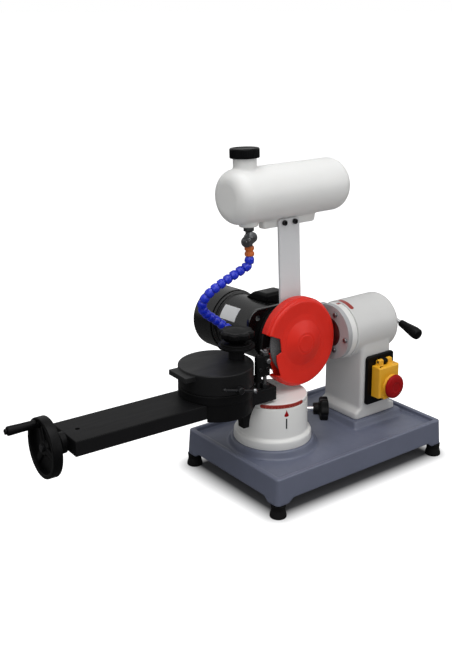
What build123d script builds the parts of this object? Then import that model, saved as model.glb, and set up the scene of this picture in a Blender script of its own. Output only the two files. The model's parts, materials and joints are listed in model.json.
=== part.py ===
from build123d import *
import math
import os

os.makedirs("parts", exist_ok=True)

# Fits and gaps
run_gap = 0.3
bore_gap = 0.05
snug_gap = 0.02
fine_edge = 1.0
small_edge = 1.5
broad_edge = 2.0

# Base casting and feet
base_len = 400.0
base_wid = 255.0
base_corner = 6.0
base_draft = 2.5
base_wall = 5.0
skirt_h = 40.0
leg_h = 8.0
leg_wid = 26.0
leg_flare = 10.0
rim_wid = 9.0
tray_depth = 8.0
tray_t = 6.0
pad_h = 13.0
pad_draft = 5.0
pad_margin = 7.5
foot_h = 22.0
foot_top_r = 13.0
foot_low_r = 14.5
foot_inset = 8.0
foot_bore_h = 8.0
foot_bore_r = 7.5
boss_r = 9.0

# Fasteners under the base
screw_r = 3.0
screw_head_r = 6.5
screw_head_h = 4.5
foot_screw_len = 26.0
casting_screw_len = 26.0

# Swivel seat and turret
seat_reach = 51.0
axis_y = 8.0
seat_pad_r = 75.0
flange_r = 70.0
flange_h = 15.5
seat_r = 63.0
seat_h = 74.0
seat_cavity_r = 48.0
seat_top_t = 37.0
seat_screw_pcr = 56.0
spigot_r = 20.0
turret_r = 61.5
turret_t = 7.7
turret_edge = 2.5
retainer_r = 28.0
retainer_t = 6.0
retainer_bolt_r = 6.0
retainer_bolt_len = 24.0
retainer_head_r = 12.0
retainer_head_t = 6.0
bar_pad_h = 5.0
bar_pad_len = 30.0
bar_pad_wid = 60.0
bar_pad_out = 3.75
bar_swing = -2.1

# Turret lock knob
lock_angle = -37.0
lock_drop = 25.0
lock_stud_r = 4.0
lock_stud_gap = 10.0
lock_hub_r = 11.0
lock_hub_len = 11.0
lock_knob_r = 21.5
lock_knob_t = 16.0
lock_lobe_r = 6.0
lock_lobes = 6
lock_root = 3.0

# Slide bar, lead screw and handwheel
bar_len = 385.5
bar_wid = 84.0
bar_h = 25.0
bar_reach = 24.5
bar_edge = 1.2
slot_wid = 28.0
slot_top_t = 7.0
slot_end_t = 15.0
slot_right = 85.0
web_t = 16.0
web_front = 4.0
web_left = 82.5
web_right = 40.5
web_tip_w = 12.0
web_h = 39.0
web_curve = 4.0
oil_hole_r = 3.5
oil_hole_in = 24.0
bar_screw_x = 40.0
bar_screw_y = 14.0
bar_screw_pitch = 14.0
bar_screw_r = 3.0
bar_screw_head_r = 5.0
bar_screw_head_h = 6.0
bar_screw_sink = 3.8
socket_depth = 3.0
lead_r = 6.0
lead_drop = 16.0
lead_collar_r = 8.5
lead_collar_t = 6.0
journal_r = 5.0
journal_len = 11.0
bearing_r = 17.0
bearing_t = 11.0
wheel_hub_gap = 12.0
hand_r = 48.0
hand_rim_wid = 16.0
hand_rim_t = 7.0
hand_rim_round = 3.0
hand_web_t = 4.0
hand_hub_r = 13.0
hand_hub_in = 4.0
hand_spoke_wid = 12.0
hand_spoke_t = 8.0
hand_spokes = 3
handle_pitch_r = 38.0
handle_angle = 70.0
handle_len = 47.0
handle_r = 7.5
handle_root_r = 5.5
handle_swell = 23.5
handle_nose = 6.0
spindle_r = 3.0
spindle_head_r = 4.5
spindle_head_t = 3.0

# Carriage and blade clamp
table_r = 65.0
table_shift = 123.5
saddle_h = 15.5
table_h = 35.5
table_groove = 1.2
cheek_out = 63.5
cheek_drop = 30.0
keeper_t = 4.0
keeper_len = 26.0
keeper_land = 8.0
nut_wid = 22.0
nut_top_t = 1.0
lug_wid = 53.0
lug_len = 13.0
lug_t = 9.0
lug_drop = 3.0
arbor_shift = 43.0
arbor_r = 14.0
arbor_h = 20.0
arbor_root_r = 8.0
arbor_root_len = 15.0
pin_r = 8.0
pin_h = 12.0
stud_r = 5.0
stud_h = 13.0
clamp_r = 32.0
clamp_low_t = 4.5
clamp_top_r = 27.0
clamp_top_t = 4.5
knob_r = 31.5
knob_h = 17.0
knob_neck_r = 13.0
knob_neck_h = 4.0
knob_flutes = 8
flute_r = 7.0
flute_out = 3.5
table_lock_r = 4.0
table_lock_rise = 9.0
table_lock_len = 26.0
table_lock_hub_r = 6.0
table_lock_hub_t = 11.0
tommy_r = 2.3
tommy_left = 32.0
tommy_right = 31.0
tommy_angle = 14.0
tommy_ball_r = 5.0
tommy_end_r = 3.2

# Tooth finger
finger_x = 20.0
finger_y = -34.0
post_r = 3.5
post_h = 69.0
post_nut_r = 7.5
post_nut_h = 8.0
post_sink = 12.0
rod_pitch = 15.0
rod_r = 3.0
rod_h = 62.0
finger_clamp_z = 22.0
finger_clamp_h = 37.0
finger_clamp_wid = 11.0
finger_clamp_end = 4.5
finger_clamp_nose = 8.0
finger_boss_r = 6.0
finger_boss_drop = 8.0
finger_hub_r = 6.0
finger_hub_h = 6.0
finger_len = 24.0
finger_wid = 6.0
finger_t = 2.5
finger_angle = 40.0

# Column, quill and stroke lever
column_x = 111.0
plinth_len = 104.0
plinth_shift = 3.0
plinth_wid = 100.0
plinth_h = 11.0
plinth_slope = 8.0
column_len = 75.0
column_wall = 8.0
column_front_t = 10.0
column_edge = 6.0
column_screw_x = 36.0
column_screw_y = 36.0
quill_rise = 166.0
barrel_r = 54.0
barrel_len = 111.0
barrel_front = 52.0
barrel_round = 14.0
barrel_rear_t = 12.0
cavity_clear = 8.0
bush_r = 34.0
bush_len = 25.0
quill_r = 30.0
quill_len = 82.0
nose_r = 22.0
tail_r = 8.0
tail_len = 62.0
tilt_bolt_r = 8.0
tilt_bolt_len = 30.0
tilt_head_r = 27.0
tilt_head_t = 3.5
hub_gap = 21.0
hub_r = 11.0
hub_len = 12.0
lever_dip = 14.5
lever_rod_r = 4.0
lever_rod_len = 46.0
grip_start = 30.0
grip_len = 49.0
grip_small_r = 7.0
grip_big_r = 11.3
grip_round = 3.0

# Switch
plate_wid = 70.0
plate_h = 95.0
plate_t = 6.0
plate_x = 6.0
plate_rise = 26.0
plate_corner = 6.5
switch_wid = 48.0
switch_h = 66.0
switch_deep = 34.0
flap_wid = 51.6
flap_h = 60.0
flap_deep = 21.0
flap_wall = 2.5
flap_x = 2.2
flap_rise = 17.0
flap_tab_wid = 28.0
flap_tab_out = 2.0
flap_tab_in = 8.0
flap_tab_h = 3.0
hinge_up = 6.0
hinge_out = 6.0
hinge_lug_r = 5.2
hinge_lug_top = 4.6
hinge_lug_wid = 11.0
hinge_pitch = 22.5
flap_pin_r = 2.0
mushroom_x = 7.0
mushroom_z = 21.0
mushroom_r = 23.0
mushroom_t = 8.0
mushroom_round = 4.8
mushroom_stem_r = 6.0
mushroom_travel = 2.5
collar_r = 20.5
collar_t = 4.0
button_r = 7.0
button_out = 6.0
button_travel = 2.5
button_well = 5.0
start_dx = -17.0
start_dz = 24.0

# Tilting head: ring, bracket, motor and guard
head_set = -3.0
ring_r = 52.0
ring_t = 12.5
face_t = 10.0
face_bolt_places = ((6.0, 35.0), (-18.0, 36.0), (-43.0, -7.0), (-14.0, -32.0))
face_bolt_h = 4.0
face_bolt_cap_r = 4.5
face_bolt_r = 2.5
face_bolt_sink = 5.0
head_gap = 0.5
guard_gap = 3.0
wheel_lift = 2.0
guard_r = 81.0
guard_wall = 2.5
guard_back_y = 9.0
guard_seam_y = -3.0
cover_step = 2.0
cover_front_y = -13.5
cover_round = 7.0
dome_r = 34.0
dome_top_r = 15.0
dome_h = 7.5
guard_hole_r = 30.0
notch_top = (-115.0, 45.0)
notch_upper = (-52.0, 17.5)
notch_lower = (-49.5, -7.5)
notch_step = (-61.0, -12.0)
notch_heel = (-61.0, -22.0)
notch_toe = (-53.0, -50.0)
notch_low = (-95.0, -52.0)
boss_t = 13.0
boss_out_r = 36.0
bracket_t = 12.0
bracket_r = 65.0
arm_up = 51.0
arm_down = 40.0
bracket_bore_r = 27.0
motor_flange_r = 64.0
motor_flange_t = 8.0
motor_flange_edge = 3.0
motor_lug_x = 84.0
motor_lug_z = 63.0
motor_lug_low = 12.0
motor_lug_round = 24.0
motor_lug_toe = 215.0
lug_hole_r = 5.0
lug_hole_x = 63.4
lug_hole_z = 47.5
motor_r = 54.0
motor_len = 157.0
motor_wall = 2.5
motor_end_t = 16.0
motor_rear_t = 22.0
motor_seat_r = 58.5
motor_seat_t = 7.0
bearing_out_r = 20.0
bearing_wid = 12.0
bearing_lip_r = 15.0
stator_in_r = 35.0
stator_start = 28.0
stator_len = 88.0
stator_step = 2.0
fan_cover_r = 60.5
fan_cover_len = 59.0
fan_cover_t = 2.5
fan_cover_round = 6.0
fan_slots = 12
fan_slot_r = 33.0
fan_slot_len = 24.0
fan_slot_wid = 5.0
fan_r = 46.0
fan_hub_r = 16.0
fan_t = 12.0
fan_gap = 10.0
fan_blades = 7
fan_blade_t = 2.5
fan_root = 4.0
shaft_r = 10.0
core_r = 34.2
box_wid = 50.0
box_shift = 25.0
box_start = 52.5
box_len = 76.0
box_top = 70.0
box_foot = 18.0
box_slope_len = 40.0
box_slope_drop = 25.0
box_edge = 4.0
stone_r = 62.5
stone_t = 9.0
stone_back = 4.0
stone_hub_r = 27.0
stone_dish = 3.0
collet_r = 24.0
collet_t = 5.0
nut_r = 14.0
nut_t = 6.0

# Tank, post, valve and hose
post_wid = 48.0
post_t = 5.0
post_low = 42.0
post_len = 180.0
post_corner = 6.0
post_screw_x = 12.0
post_screw_in = 7.0
post_screw_low = 9.0
head_screw_r = 3.0
head_screw_h = 4.5
head_screw_cap_r = 5.5
head_screw_len = 14.0
flat_head_h = 2.5
tank_r = 48.4
tank_left = -178.2
tank_len = 256.0
tank_round = 24.0
tank_wall = 3.0
tank_behind = 5.0
rib_t = 14.0
rib_left = 56.0
rib_right = 66.0
rib_h = 18.0
neck_x = 41.7
neck_r = 20.5
neck_h = 30.5
neck_seat_r = 30.0
cap_r = 26.0
cap_h = 17.0
cap_low = 14.0
outlet_x = 46.2
outlet_r = 17.0
outlet_drop = 6.0
outlet_bore_r = 4.0
valve_nut_r = 9.0
valve_nut_h = 8.0
valve_neck_r = 6.0
valve_ball_r = 9.5
valve_ball_drop = 20.0
valve_len = 34.0
wing_len = 30.0
wing_wid = 15.0
wing_t = 4.0
wing_out = 13.0
wing_angle = 40.0
valve_turn = 37.0
wing_stem_r = 3.0
fitting_r = 8.5
fitting_h = 17.5
fitting_waist = 1.5
fitting_collar = 6.0
fitting_slope = 2.5
hose_neck_r = 5.8
hose_bell_r = 8.5
hose_bore_r = 3.2
hose_segments = 16
hose_straight = 15.0
nozzle_len = 14.0
nozzle_tip_r = 4.0
nozzle_collar = 4.7
nozzle_bore_r = 2.0

# Heights and places worked out from the sizes above
skirt_z = foot_h + leg_h
base_z = skirt_z + skirt_h
tray_z = base_z - tray_depth
under_z = tray_z - tray_t
pad_z = tray_z + pad_h
quill_z = pad_z + quill_rise
barrel_x = column_x - barrel_front
barrel_back = barrel_x + barrel_len
ring_x = barrel_x - head_gap
face_x = ring_x - ring_t
front_x = face_x - face_t
motor_z = quill_z + wheel_lift
wheel_x = front_x - guard_gap - guard_r
cover_r = guard_r - cover_step
seat_x = wheel_x - seat_reach
seat_top = pad_z + seat_h
turret_low = seat_top + run_gap
turret_top = turret_low + turret_t
bar_z = turret_top + bar_pad_h
bar_top = bar_z + bar_h
bar_right = seat_x - bar_reach
bar_left = bar_right - bar_len
lead_z = bar_top - lead_drop
table_x = seat_x - table_shift
saddle_z = bar_top + run_gap
table_z = saddle_z + saddle_h
table_top = table_z + table_h
arbor_x = table_x + arbor_shift
blade_z = table_top + arbor_h
plate_y = guard_back_y + boss_t
motor_y = plate_y + bracket_t
column_y = axis_y - plinth_wid / 2
plinth_x = column_x + plinth_shift


def cyl_x(radius, x_from, x_to, y, z, mode=Mode.ADD):
    with Locations(((x_from + x_to) / 2, y, z)):
        Cylinder(radius, abs(x_to - x_from), rotation=(0, 90, 0), mode=mode)


def cyl_y(radius, y_from, y_to, x, z, mode=Mode.ADD):
    with Locations((x, (y_from + y_to) / 2, z)):
        Cylinder(radius, abs(y_to - y_from), rotation=(90, 0, 0), mode=mode)


def cyl_z(radius, z_from, z_to, x, y, mode=Mode.ADD):
    with Locations((x, y, (z_from + z_to) / 2)):
        Cylinder(radius, abs(z_to - z_from), mode=mode)


def block(x_from, x_to, y_from, y_to, z_from, z_to, mode=Mode.ADD):
    with Locations(((x_from + x_to) / 2, (y_from + y_to) / 2, (z_from + z_to) / 2)):
        Box(abs(x_to - x_from), abs(y_to - y_from), abs(z_to - z_from), mode=mode)


# Sketch planes that hold an axis: u runs along X or Y (or outwards from a standing axis), v is up
def plane_x(y, z):
    return Plane((0, y, z), x_dir=(1, 0, 0), z_dir=(0, -1, 0))


def plane_y(x, z):
    return Plane((x, 0, z), x_dir=(0, 1, 0), z_dir=(1, 0, 0))


def plane_z(x, y):
    return Plane((x, y, 0), x_dir=(1, 0, 0), z_dir=(0, -1, 0))


def turned_face(plane, points):
    with BuildSketch(plane) as profile:
        with BuildLine():
            Polyline(*points, close=True)
        make_face()
    return profile.sketch


quill_axis = Axis((0, axis_y, quill_z), (1, 0, 0))
turret_axis = Axis((seat_x, axis_y, 0), (0, 0, 1))
motor_axis = Axis((wheel_x, 0, motor_z), (0, 1, 0))

foot_places = [
    (sx * (base_len / 2 - foot_inset), sy * (base_wid / 2 - foot_inset))
    for sx in (-1, 1)
    for sy in (-1, 1)
]
seat_screw_places = [
    (
        seat_x + seat_screw_pcr * math.cos(math.radians(a)),
        axis_y + seat_screw_pcr * math.sin(math.radians(a)),
    )
    for a in (45, 135, 225, 315)
]
column_screw_places = [
    (column_x + sx * column_screw_x, axis_y + sy * column_screw_y)
    for sx in (-1, 1)
    for sy in (-1, 1)
]

# Base casting: drafted tray with a rim, corner legs and two raised pads
low_draft = base_draft * (base_z - foot_h) / skirt_h
leg_in_x = base_len / 2 + low_draft - leg_wid
leg_in_y = base_wid / 2 + low_draft - leg_wid
casting_screw_top = under_z + casting_screw_len
pad_len = plinth_len + 2 * pad_margin
pad_wid = plinth_wid + 2 * pad_margin
with BuildPart() as base_casting:
    with BuildSketch(Plane.XY.offset(foot_h)):
        RectangleRounded(base_len + 2 * low_draft, base_wid + 2 * low_draft, base_corner + low_draft)
    with BuildSketch(Plane.XY.offset(base_z)):
        RectangleRounded(base_len, base_wid, base_corner)
    loft(ruled=True)
    with BuildSketch(Plane.XY.offset(foot_h)):
        RectangleRounded(
            base_len + 2 * (low_draft - base_wall), base_wid + 2 * (low_draft - base_wall), base_corner
        )
    with BuildSketch(Plane.XY.offset(under_z)):
        RectangleRounded(base_len - 2 * base_wall, base_wid - 2 * base_wall, base_corner / 2)
    loft(ruled=True, mode=Mode.SUBTRACT)
    for x, y in foot_places:
        cyl_z(boss_r, foot_h, under_z, x, y)
    with BuildSketch(Plane.XZ.offset(-base_wid)):
        with BuildLine():
            Polyline(
                (-leg_in_x, foot_h - leg_h),
                (leg_in_x, foot_h - leg_h),
                (leg_in_x, foot_h),
                (leg_in_x - leg_flare, skirt_z),
                (leg_flare - leg_in_x, skirt_z),
                (-leg_in_x, foot_h),
                close=True,
            )
        make_face()
    extrude(amount=2 * base_wid, mode=Mode.SUBTRACT)
    with BuildSketch(Plane.YZ.offset(-base_len)):
        with BuildLine():
            Polyline(
                (-leg_in_y, foot_h - leg_h),
                (leg_in_y, foot_h - leg_h),
                (leg_in_y, foot_h),
                (leg_in_y - leg_flare, skirt_z),
                (leg_flare - leg_in_y, skirt_z),
                (-leg_in_y, foot_h),
                close=True,
            )
        make_face()
    extrude(amount=2 * base_len, mode=Mode.SUBTRACT)
    with BuildSketch(Plane.XY.offset(tray_z)):
        RectangleRounded(base_len - 2 * rim_wid, base_wid - 2 * rim_wid, base_corner / 2)
    extrude(amount=tray_depth, mode=Mode.SUBTRACT)
    with Locations((seat_x, axis_y, tray_z + pad_h / 2)):
        Cone(seat_pad_r + pad_draft, seat_pad_r, pad_h)
    with BuildSketch(Plane.XY.offset(tray_z)):
        with Locations((plinth_x, axis_y)):
            RectangleRounded(pad_len + 2 * pad_draft, pad_wid + 2 * pad_draft, base_corner)
    with BuildSketch(Plane.XY.offset(pad_z)):
        with Locations((plinth_x, axis_y)):
            RectangleRounded(pad_len, pad_wid, base_corner)
    loft(ruled=True)
    for x, y in foot_places:
        cyl_z(screw_r + snug_gap, foot_h, foot_bore_h + foot_screw_len + run_gap, x, y, Mode.SUBTRACT)
    for x, y in seat_screw_places + column_screw_places:
        cyl_z(screw_r + snug_gap, under_z, pad_z, x, y, Mode.SUBTRACT)

# Rubber feet: short cones, counterbored for their screws
with BuildPart() as rubber_feet:
    for x, y in foot_places:
        with Locations((x, y, foot_h / 2)):
            Cone(foot_low_r, foot_top_r, foot_h)
        cyl_z(foot_bore_r, 0, foot_bore_h, x, y, Mode.SUBTRACT)
        cyl_z(screw_r + snug_gap, foot_bore_h, foot_h, x, y, Mode.SUBTRACT)

# Screws under the base: four hold the feet, eight hold the two white castings
with BuildPart() as base_screws:
    for x, y in foot_places:
        cyl_z(screw_head_r, foot_bore_h - screw_head_h, foot_bore_h, x, y)
        cyl_z(screw_r, foot_bore_h, foot_bore_h + foot_screw_len, x, y)
    for x, y in seat_screw_places + column_screw_places:
        cyl_z(screw_head_r, under_z - screw_head_h, under_z, x, y)
        cyl_z(screw_r, under_z, casting_screw_top, x, y)

# Swivel seat: flanged drum with a bore for the turret spigot and a radial lock screw hole
cavity_top = seat_top - seat_top_t
lock_z = seat_top - lock_drop
lock_dir = Vector(math.cos(math.radians(lock_angle)), math.sin(math.radians(lock_angle)), 0)
lock_line = Plane((seat_x, axis_y, lock_z), x_dir=(0, 0, 1), z_dir=lock_dir)
with BuildPart() as swivel_seat:
    cyl_z(flange_r, pad_z, pad_z + flange_h, seat_x, axis_y)
    chamfer(swivel_seat.edges().group_by(Axis.Z)[-1], length=broad_edge)
    cyl_z(seat_r, pad_z, seat_top, seat_x, axis_y)
    fillet(swivel_seat.edges().group_by(Axis.Z)[-1], radius=small_edge)
    cyl_z(seat_cavity_r, pad_z, cavity_top, seat_x, axis_y, Mode.SUBTRACT)
    cyl_z(spigot_r, cavity_top, seat_top, seat_x, axis_y, Mode.SUBTRACT)
    with BuildSketch(lock_line):
        Circle(lock_stud_r + bore_gap)
    extrude(amount=flange_r, mode=Mode.SUBTRACT)
    for x, y in seat_screw_places:
        cyl_z(screw_r + snug_gap, pad_z, casting_screw_top + run_gap, x, y, Mode.SUBTRACT)

# Turret plate: scale disc, raised pad under the bar and a spigot in the seat
bar_screw_places = [
    (seat_x - bar_screw_x + sx * bar_screw_pitch / 2, axis_y + sy * bar_screw_y)
    for sx in (-1, 1)
    for sy in (-1, 1)
]
bar_screw_low = turret_top - bar_screw_sink
spigot_low = cavity_top - run_gap
pad_right = bar_right + bar_pad_out
with BuildPart() as turret_plate:
    cyl_z(turret_r, turret_low, turret_top, seat_x, axis_y)
    fillet(turret_plate.edges().group_by(Axis.Z)[-1], radius=turret_edge)
    with BuildSketch(Plane.XY.offset(turret_top - turret_edge)):
        with Locations((pad_right - bar_pad_len / 2, axis_y)):
            Rectangle(bar_pad_len, bar_pad_wid)
        with Locations((seat_x, axis_y)):
            Circle(turret_r - turret_edge, mode=Mode.INTERSECT)
    extrude(amount=bar_pad_h + turret_edge)
    cyl_z(spigot_r - bore_gap, spigot_low, turret_low, seat_x, axis_y)
    cyl_z(
        retainer_bolt_r + snug_gap,
        spigot_low,
        spigot_low + retainer_bolt_len,
        seat_x,
        axis_y,
        Mode.SUBTRACT,
    )
    for x, y in bar_screw_places:
        cyl_z(bar_screw_r + snug_gap, bar_screw_low, bar_z, x, y, Mode.SUBTRACT)

# Turret lock: stud, hub and lobed knob on one radial line
with BuildPart() as turret_lock:
    with BuildSketch(lock_line.offset(spigot_r + run_gap)):
        Circle(lock_stud_r)
    extrude(amount=seat_r + lock_stud_gap - spigot_r)
    with BuildSketch(lock_line.offset(seat_r + lock_stud_gap)):
        Circle(lock_hub_r)
    extrude(amount=lock_hub_len)
    with BuildSketch(lock_line.offset(seat_r + lock_stud_gap + lock_hub_len)):
        Circle(lock_knob_r - lock_root)
        with PolarLocations(lock_knob_r - lock_lobe_r, lock_lobes):
            Circle(lock_lobe_r)
    extrude(amount=lock_knob_t)
    lock_ends = turret_lock.faces().sort_by(Axis(lock_line.origin, lock_dir))
    chamfer(lock_ends[-1].edges(), length=small_edge)

# Slide bar: long flat bar, channelled from below for the lead screw, with a web under it
slot_z = bar_top - slot_top_t
slot_x_left = bar_left + slot_end_t
slot_x_right = bar_right - slot_right
bar_front = axis_y - bar_wid / 2
post_x = bar_right - finger_x
finger_place_y = axis_y + finger_y
with BuildPart() as slide_bar:
    block(bar_left, bar_right, bar_front, bar_front + bar_wid, bar_z, bar_top)
    chamfer(slide_bar.edges().group_by(Axis.Z)[-1], length=bar_edge)
    block(
        slot_x_left,
        slot_x_right,
        axis_y - slot_wid / 2,
        axis_y + slot_wid / 2,
        bar_z,
        slot_z,
        Mode.SUBTRACT,
    )
    with BuildSketch(Plane.XZ.offset(-(bar_front + web_front + web_t))):
        with BuildLine():
            web_mid = (bar_right - (web_left + web_right) / 2, bar_z - web_h)
            left_top = (bar_right - web_left, bar_z)
            right_top = (bar_right - web_right, bar_z)
            left_tip = (web_mid[0] - web_tip_w / 2, web_mid[1])
            right_tip = (web_mid[0] + web_tip_w / 2, web_mid[1])
            Line(left_top, right_top)
            SagittaArc(right_top, right_tip, -web_curve)
            Line(right_tip, left_tip)
            SagittaArc(left_tip, left_top, -web_curve)
        make_face()
    extrude(amount=web_t)
    cyl_x(lead_r + bore_gap, bar_left, slot_x_left, axis_y, lead_z, Mode.SUBTRACT)
    cyl_x(
        journal_r + bore_gap,
        slot_x_right,
        slot_x_right + journal_len + run_gap,
        axis_y,
        lead_z,
        Mode.SUBTRACT,
    )
    cyl_z(oil_hole_r, slot_z, bar_top, bar_left + oil_hole_in, axis_y, Mode.SUBTRACT)
    for x, y in bar_screw_places:
        cyl_z(bar_screw_r + snug_gap, bar_z, bar_top, x, y, Mode.SUBTRACT)
        cyl_z(bar_screw_head_r + snug_gap, bar_top - bar_screw_head_h, bar_top, x, y, Mode.SUBTRACT)
    cyl_z(post_r + snug_gap, bar_top - post_sink, bar_top, post_x, finger_place_y, Mode.SUBTRACT)
    cyl_z(rod_r + snug_gap, bar_top - post_sink, bar_top, post_x - rod_pitch, finger_place_y, Mode.SUBTRACT)

# Turret screws: socket screws through the bar into the pad, and a shouldered bolt under the spigot
with BuildPart() as turret_screws:
    for x, y in bar_screw_places:
        cyl_z(bar_screw_r, bar_screw_low, bar_top - bar_screw_head_h, x, y)
        cyl_z(bar_screw_head_r, bar_top - bar_screw_head_h, bar_top - bar_edge, x, y)
        with BuildSketch(Plane.XY.offset(bar_top - bar_edge)):
            with Locations((x, y)):
                RegularPolygon(bar_screw_r, 6)
        extrude(amount=-socket_depth, mode=Mode.SUBTRACT)
    cyl_z(retainer_r, spigot_low - retainer_t, spigot_low, seat_x, axis_y)
    cyl_z(retainer_bolt_r, spigot_low, spigot_low + retainer_bolt_len, seat_x, axis_y)
    with BuildSketch(Plane.XY.offset(spigot_low - retainer_t - retainer_head_t)):
        with Locations((seat_x, axis_y)):
            RegularPolygon(retainer_head_r, 6)
    extrude(amount=retainer_head_t)

# Screw bearing on the free end of the bar
with BuildPart() as end_bearing:
    cyl_x(bearing_r, bar_left - bearing_t, bar_left, axis_y, lead_z)
    chamfer(end_bearing.edges().group_by(Axis.X)[0], length=broad_edge)
    cyl_x(lead_r + bore_gap, bar_left - bearing_t, bar_left, axis_y, lead_z, Mode.SUBTRACT)

# Lead screw with a thrust collar and an end journal
hub_x = bar_left - bearing_t - run_gap
hand_in_x = hub_x - wheel_hub_gap
hand_out_x = hand_in_x - hand_rim_wid
with BuildPart() as lead_screw:
    cyl_x(lead_r, hand_out_x + run_gap, slot_x_right - run_gap, axis_y, lead_z)
    cyl_x(lead_collar_r, slot_x_left + run_gap, slot_x_left + run_gap + lead_collar_t, axis_y, lead_z)
    cyl_x(journal_r, slot_x_right - run_gap, slot_x_right + journal_len, axis_y, lead_z)

# Handwheel: hub, dished web with ribs and a rim with rounded edges
handle_y = axis_y + handle_pitch_r * math.cos(math.radians(handle_angle))
handle_z = lead_z + handle_pitch_r * math.sin(math.radians(handle_angle))
spindle_root = hand_in_x - hand_hub_in
spoke_len = hand_r - hand_rim_round
with BuildPart() as handwheel:
    cyl_x(hand_r, hand_out_x, hand_in_x, axis_y, lead_z)
    cyl_x(hand_r - hand_rim_t, hand_out_x, hand_in_x, axis_y, lead_z, Mode.SUBTRACT)
    fillet(handwheel.edges().filter_by(GeomType.CIRCLE), radius=hand_rim_round)
    cyl_x(hand_hub_r, hand_out_x + hand_hub_in, hub_x, axis_y, lead_z)
    cyl_x(hand_r - hand_rim_round, spindle_root - hand_web_t, spindle_root, axis_y, lead_z)
    for k in range(hand_spokes):
        turn = handle_angle + 360 * k / hand_spokes
        with BuildSketch(Plane.YZ.offset(spindle_root)):
            with Locations((axis_y, lead_z)):
                with PolarLocations(0, 1, start_angle=turn):
                    with Locations((spoke_len / 2, 0)):
                        Rectangle(spoke_len, hand_spoke_wid)
        extrude(amount=-hand_spoke_t)
    cyl_x(handle_r, hand_out_x, hand_in_x, handle_y, handle_z)
    cyl_x(lead_r + snug_gap, hand_out_x, hub_x, axis_y, lead_z, Mode.SUBTRACT)
    cyl_x(spindle_r + snug_gap, hand_out_x, spindle_root, handle_y, handle_z, Mode.SUBTRACT)

# Handle: a fixed spindle with a head and a grip that turns on it
grip_in_x = hand_out_x - run_gap
grip_out_x = grip_in_x - handle_len
with BuildPart() as handle_spindle:
    cyl_x(spindle_r, grip_out_x - run_gap, spindle_root, handle_y, handle_z)
    cyl_x(spindle_head_r, grip_out_x - run_gap - spindle_head_t, grip_out_x - run_gap, handle_y, handle_z)
handle_face = turned_face(
    plane_x(handle_y, handle_z),
    [
        (grip_in_x, spindle_r + bore_gap),
        (grip_in_x, handle_root_r),
        (grip_in_x - handle_swell, handle_r),
        (grip_out_x + handle_nose, handle_r),
        (grip_out_x, handle_root_r),
        (grip_out_x, spindle_r + bore_gap),
    ],
)
with BuildPart() as handle_grip:
    revolve(handle_face, axis=Axis((0, handle_y, handle_z), (1, 0, 0)))

# Saddle: lower drum with a round skirt that is cut away where the bar passes
cheek_in = bar_wid / 2 + run_gap
keeper_z = bar_top - cheek_drop
table_lock_y = axis_y - table_r
table_lock_z = table_z + table_lock_rise
with BuildPart() as saddle:
    cyl_z(cheek_out, keeper_z, saddle_z, table_x, axis_y)
    block(
        table_x - cheek_out,
        table_x + cheek_out,
        axis_y - cheek_in,
        axis_y + cheek_in,
        keeper_z,
        saddle_z,
        Mode.SUBTRACT,
    )
    cyl_z(table_r, saddle_z, table_z, table_x, axis_y)
    chamfer(saddle.edges().group_by(Axis.Z)[-1], length=table_groove)

# Keeper with the lead nut: a strap under the skirt and a nut in the channel
with BuildPart() as lead_nut:
    block(
        table_x - keeper_len / 2,
        table_x + keeper_len / 2,
        axis_y - cheek_in - keeper_land,
        axis_y + cheek_in + keeper_land,
        keeper_z - keeper_t,
        keeper_z,
    )
    block(
        table_x - keeper_len / 2,
        table_x + keeper_len / 2,
        axis_y - nut_wid / 2,
        axis_y + nut_wid / 2,
        keeper_z,
        slot_z - nut_top_t,
    )
    cyl_x(lead_r + bore_gap, table_x - keeper_len, table_x + keeper_len, axis_y, lead_z, Mode.SUBTRACT)

# Work table: upper drum with a stop lug, a socket for the arbor and a lock screw hole
with BuildPart() as work_table:
    cyl_z(table_r, table_z, table_top, table_x, axis_y)
    chamfer(work_table.edges().filter_by(GeomType.CIRCLE), length=table_groove)
    block(
        table_x - table_r - lug_len,
        table_x,
        axis_y - lug_wid / 2,
        axis_y + lug_wid / 2,
        table_top - lug_drop - lug_t,
        table_top - lug_drop,
    )
    cyl_z(arbor_root_r + snug_gap, table_top - arbor_root_len, table_top, arbor_x, axis_y, Mode.SUBTRACT)
    cyl_y(
        table_lock_r + bore_gap,
        table_lock_y,
        table_lock_y + table_lock_len + run_gap,
        table_x,
        table_lock_z,
        Mode.SUBTRACT,
    )

# Blade arbor: stem, centring pin and clamp stud
with BuildPart() as blade_arbor:
    cyl_z(arbor_root_r, table_top - arbor_root_len, table_top, arbor_x, axis_y)
    cyl_z(arbor_r, table_top, blade_z, arbor_x, axis_y)
    cyl_z(pin_r, blade_z, blade_z + pin_h, arbor_x, axis_y)
    cyl_z(stud_r, blade_z + pin_h, blade_z + pin_h + stud_h, arbor_x, axis_y)

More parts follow.
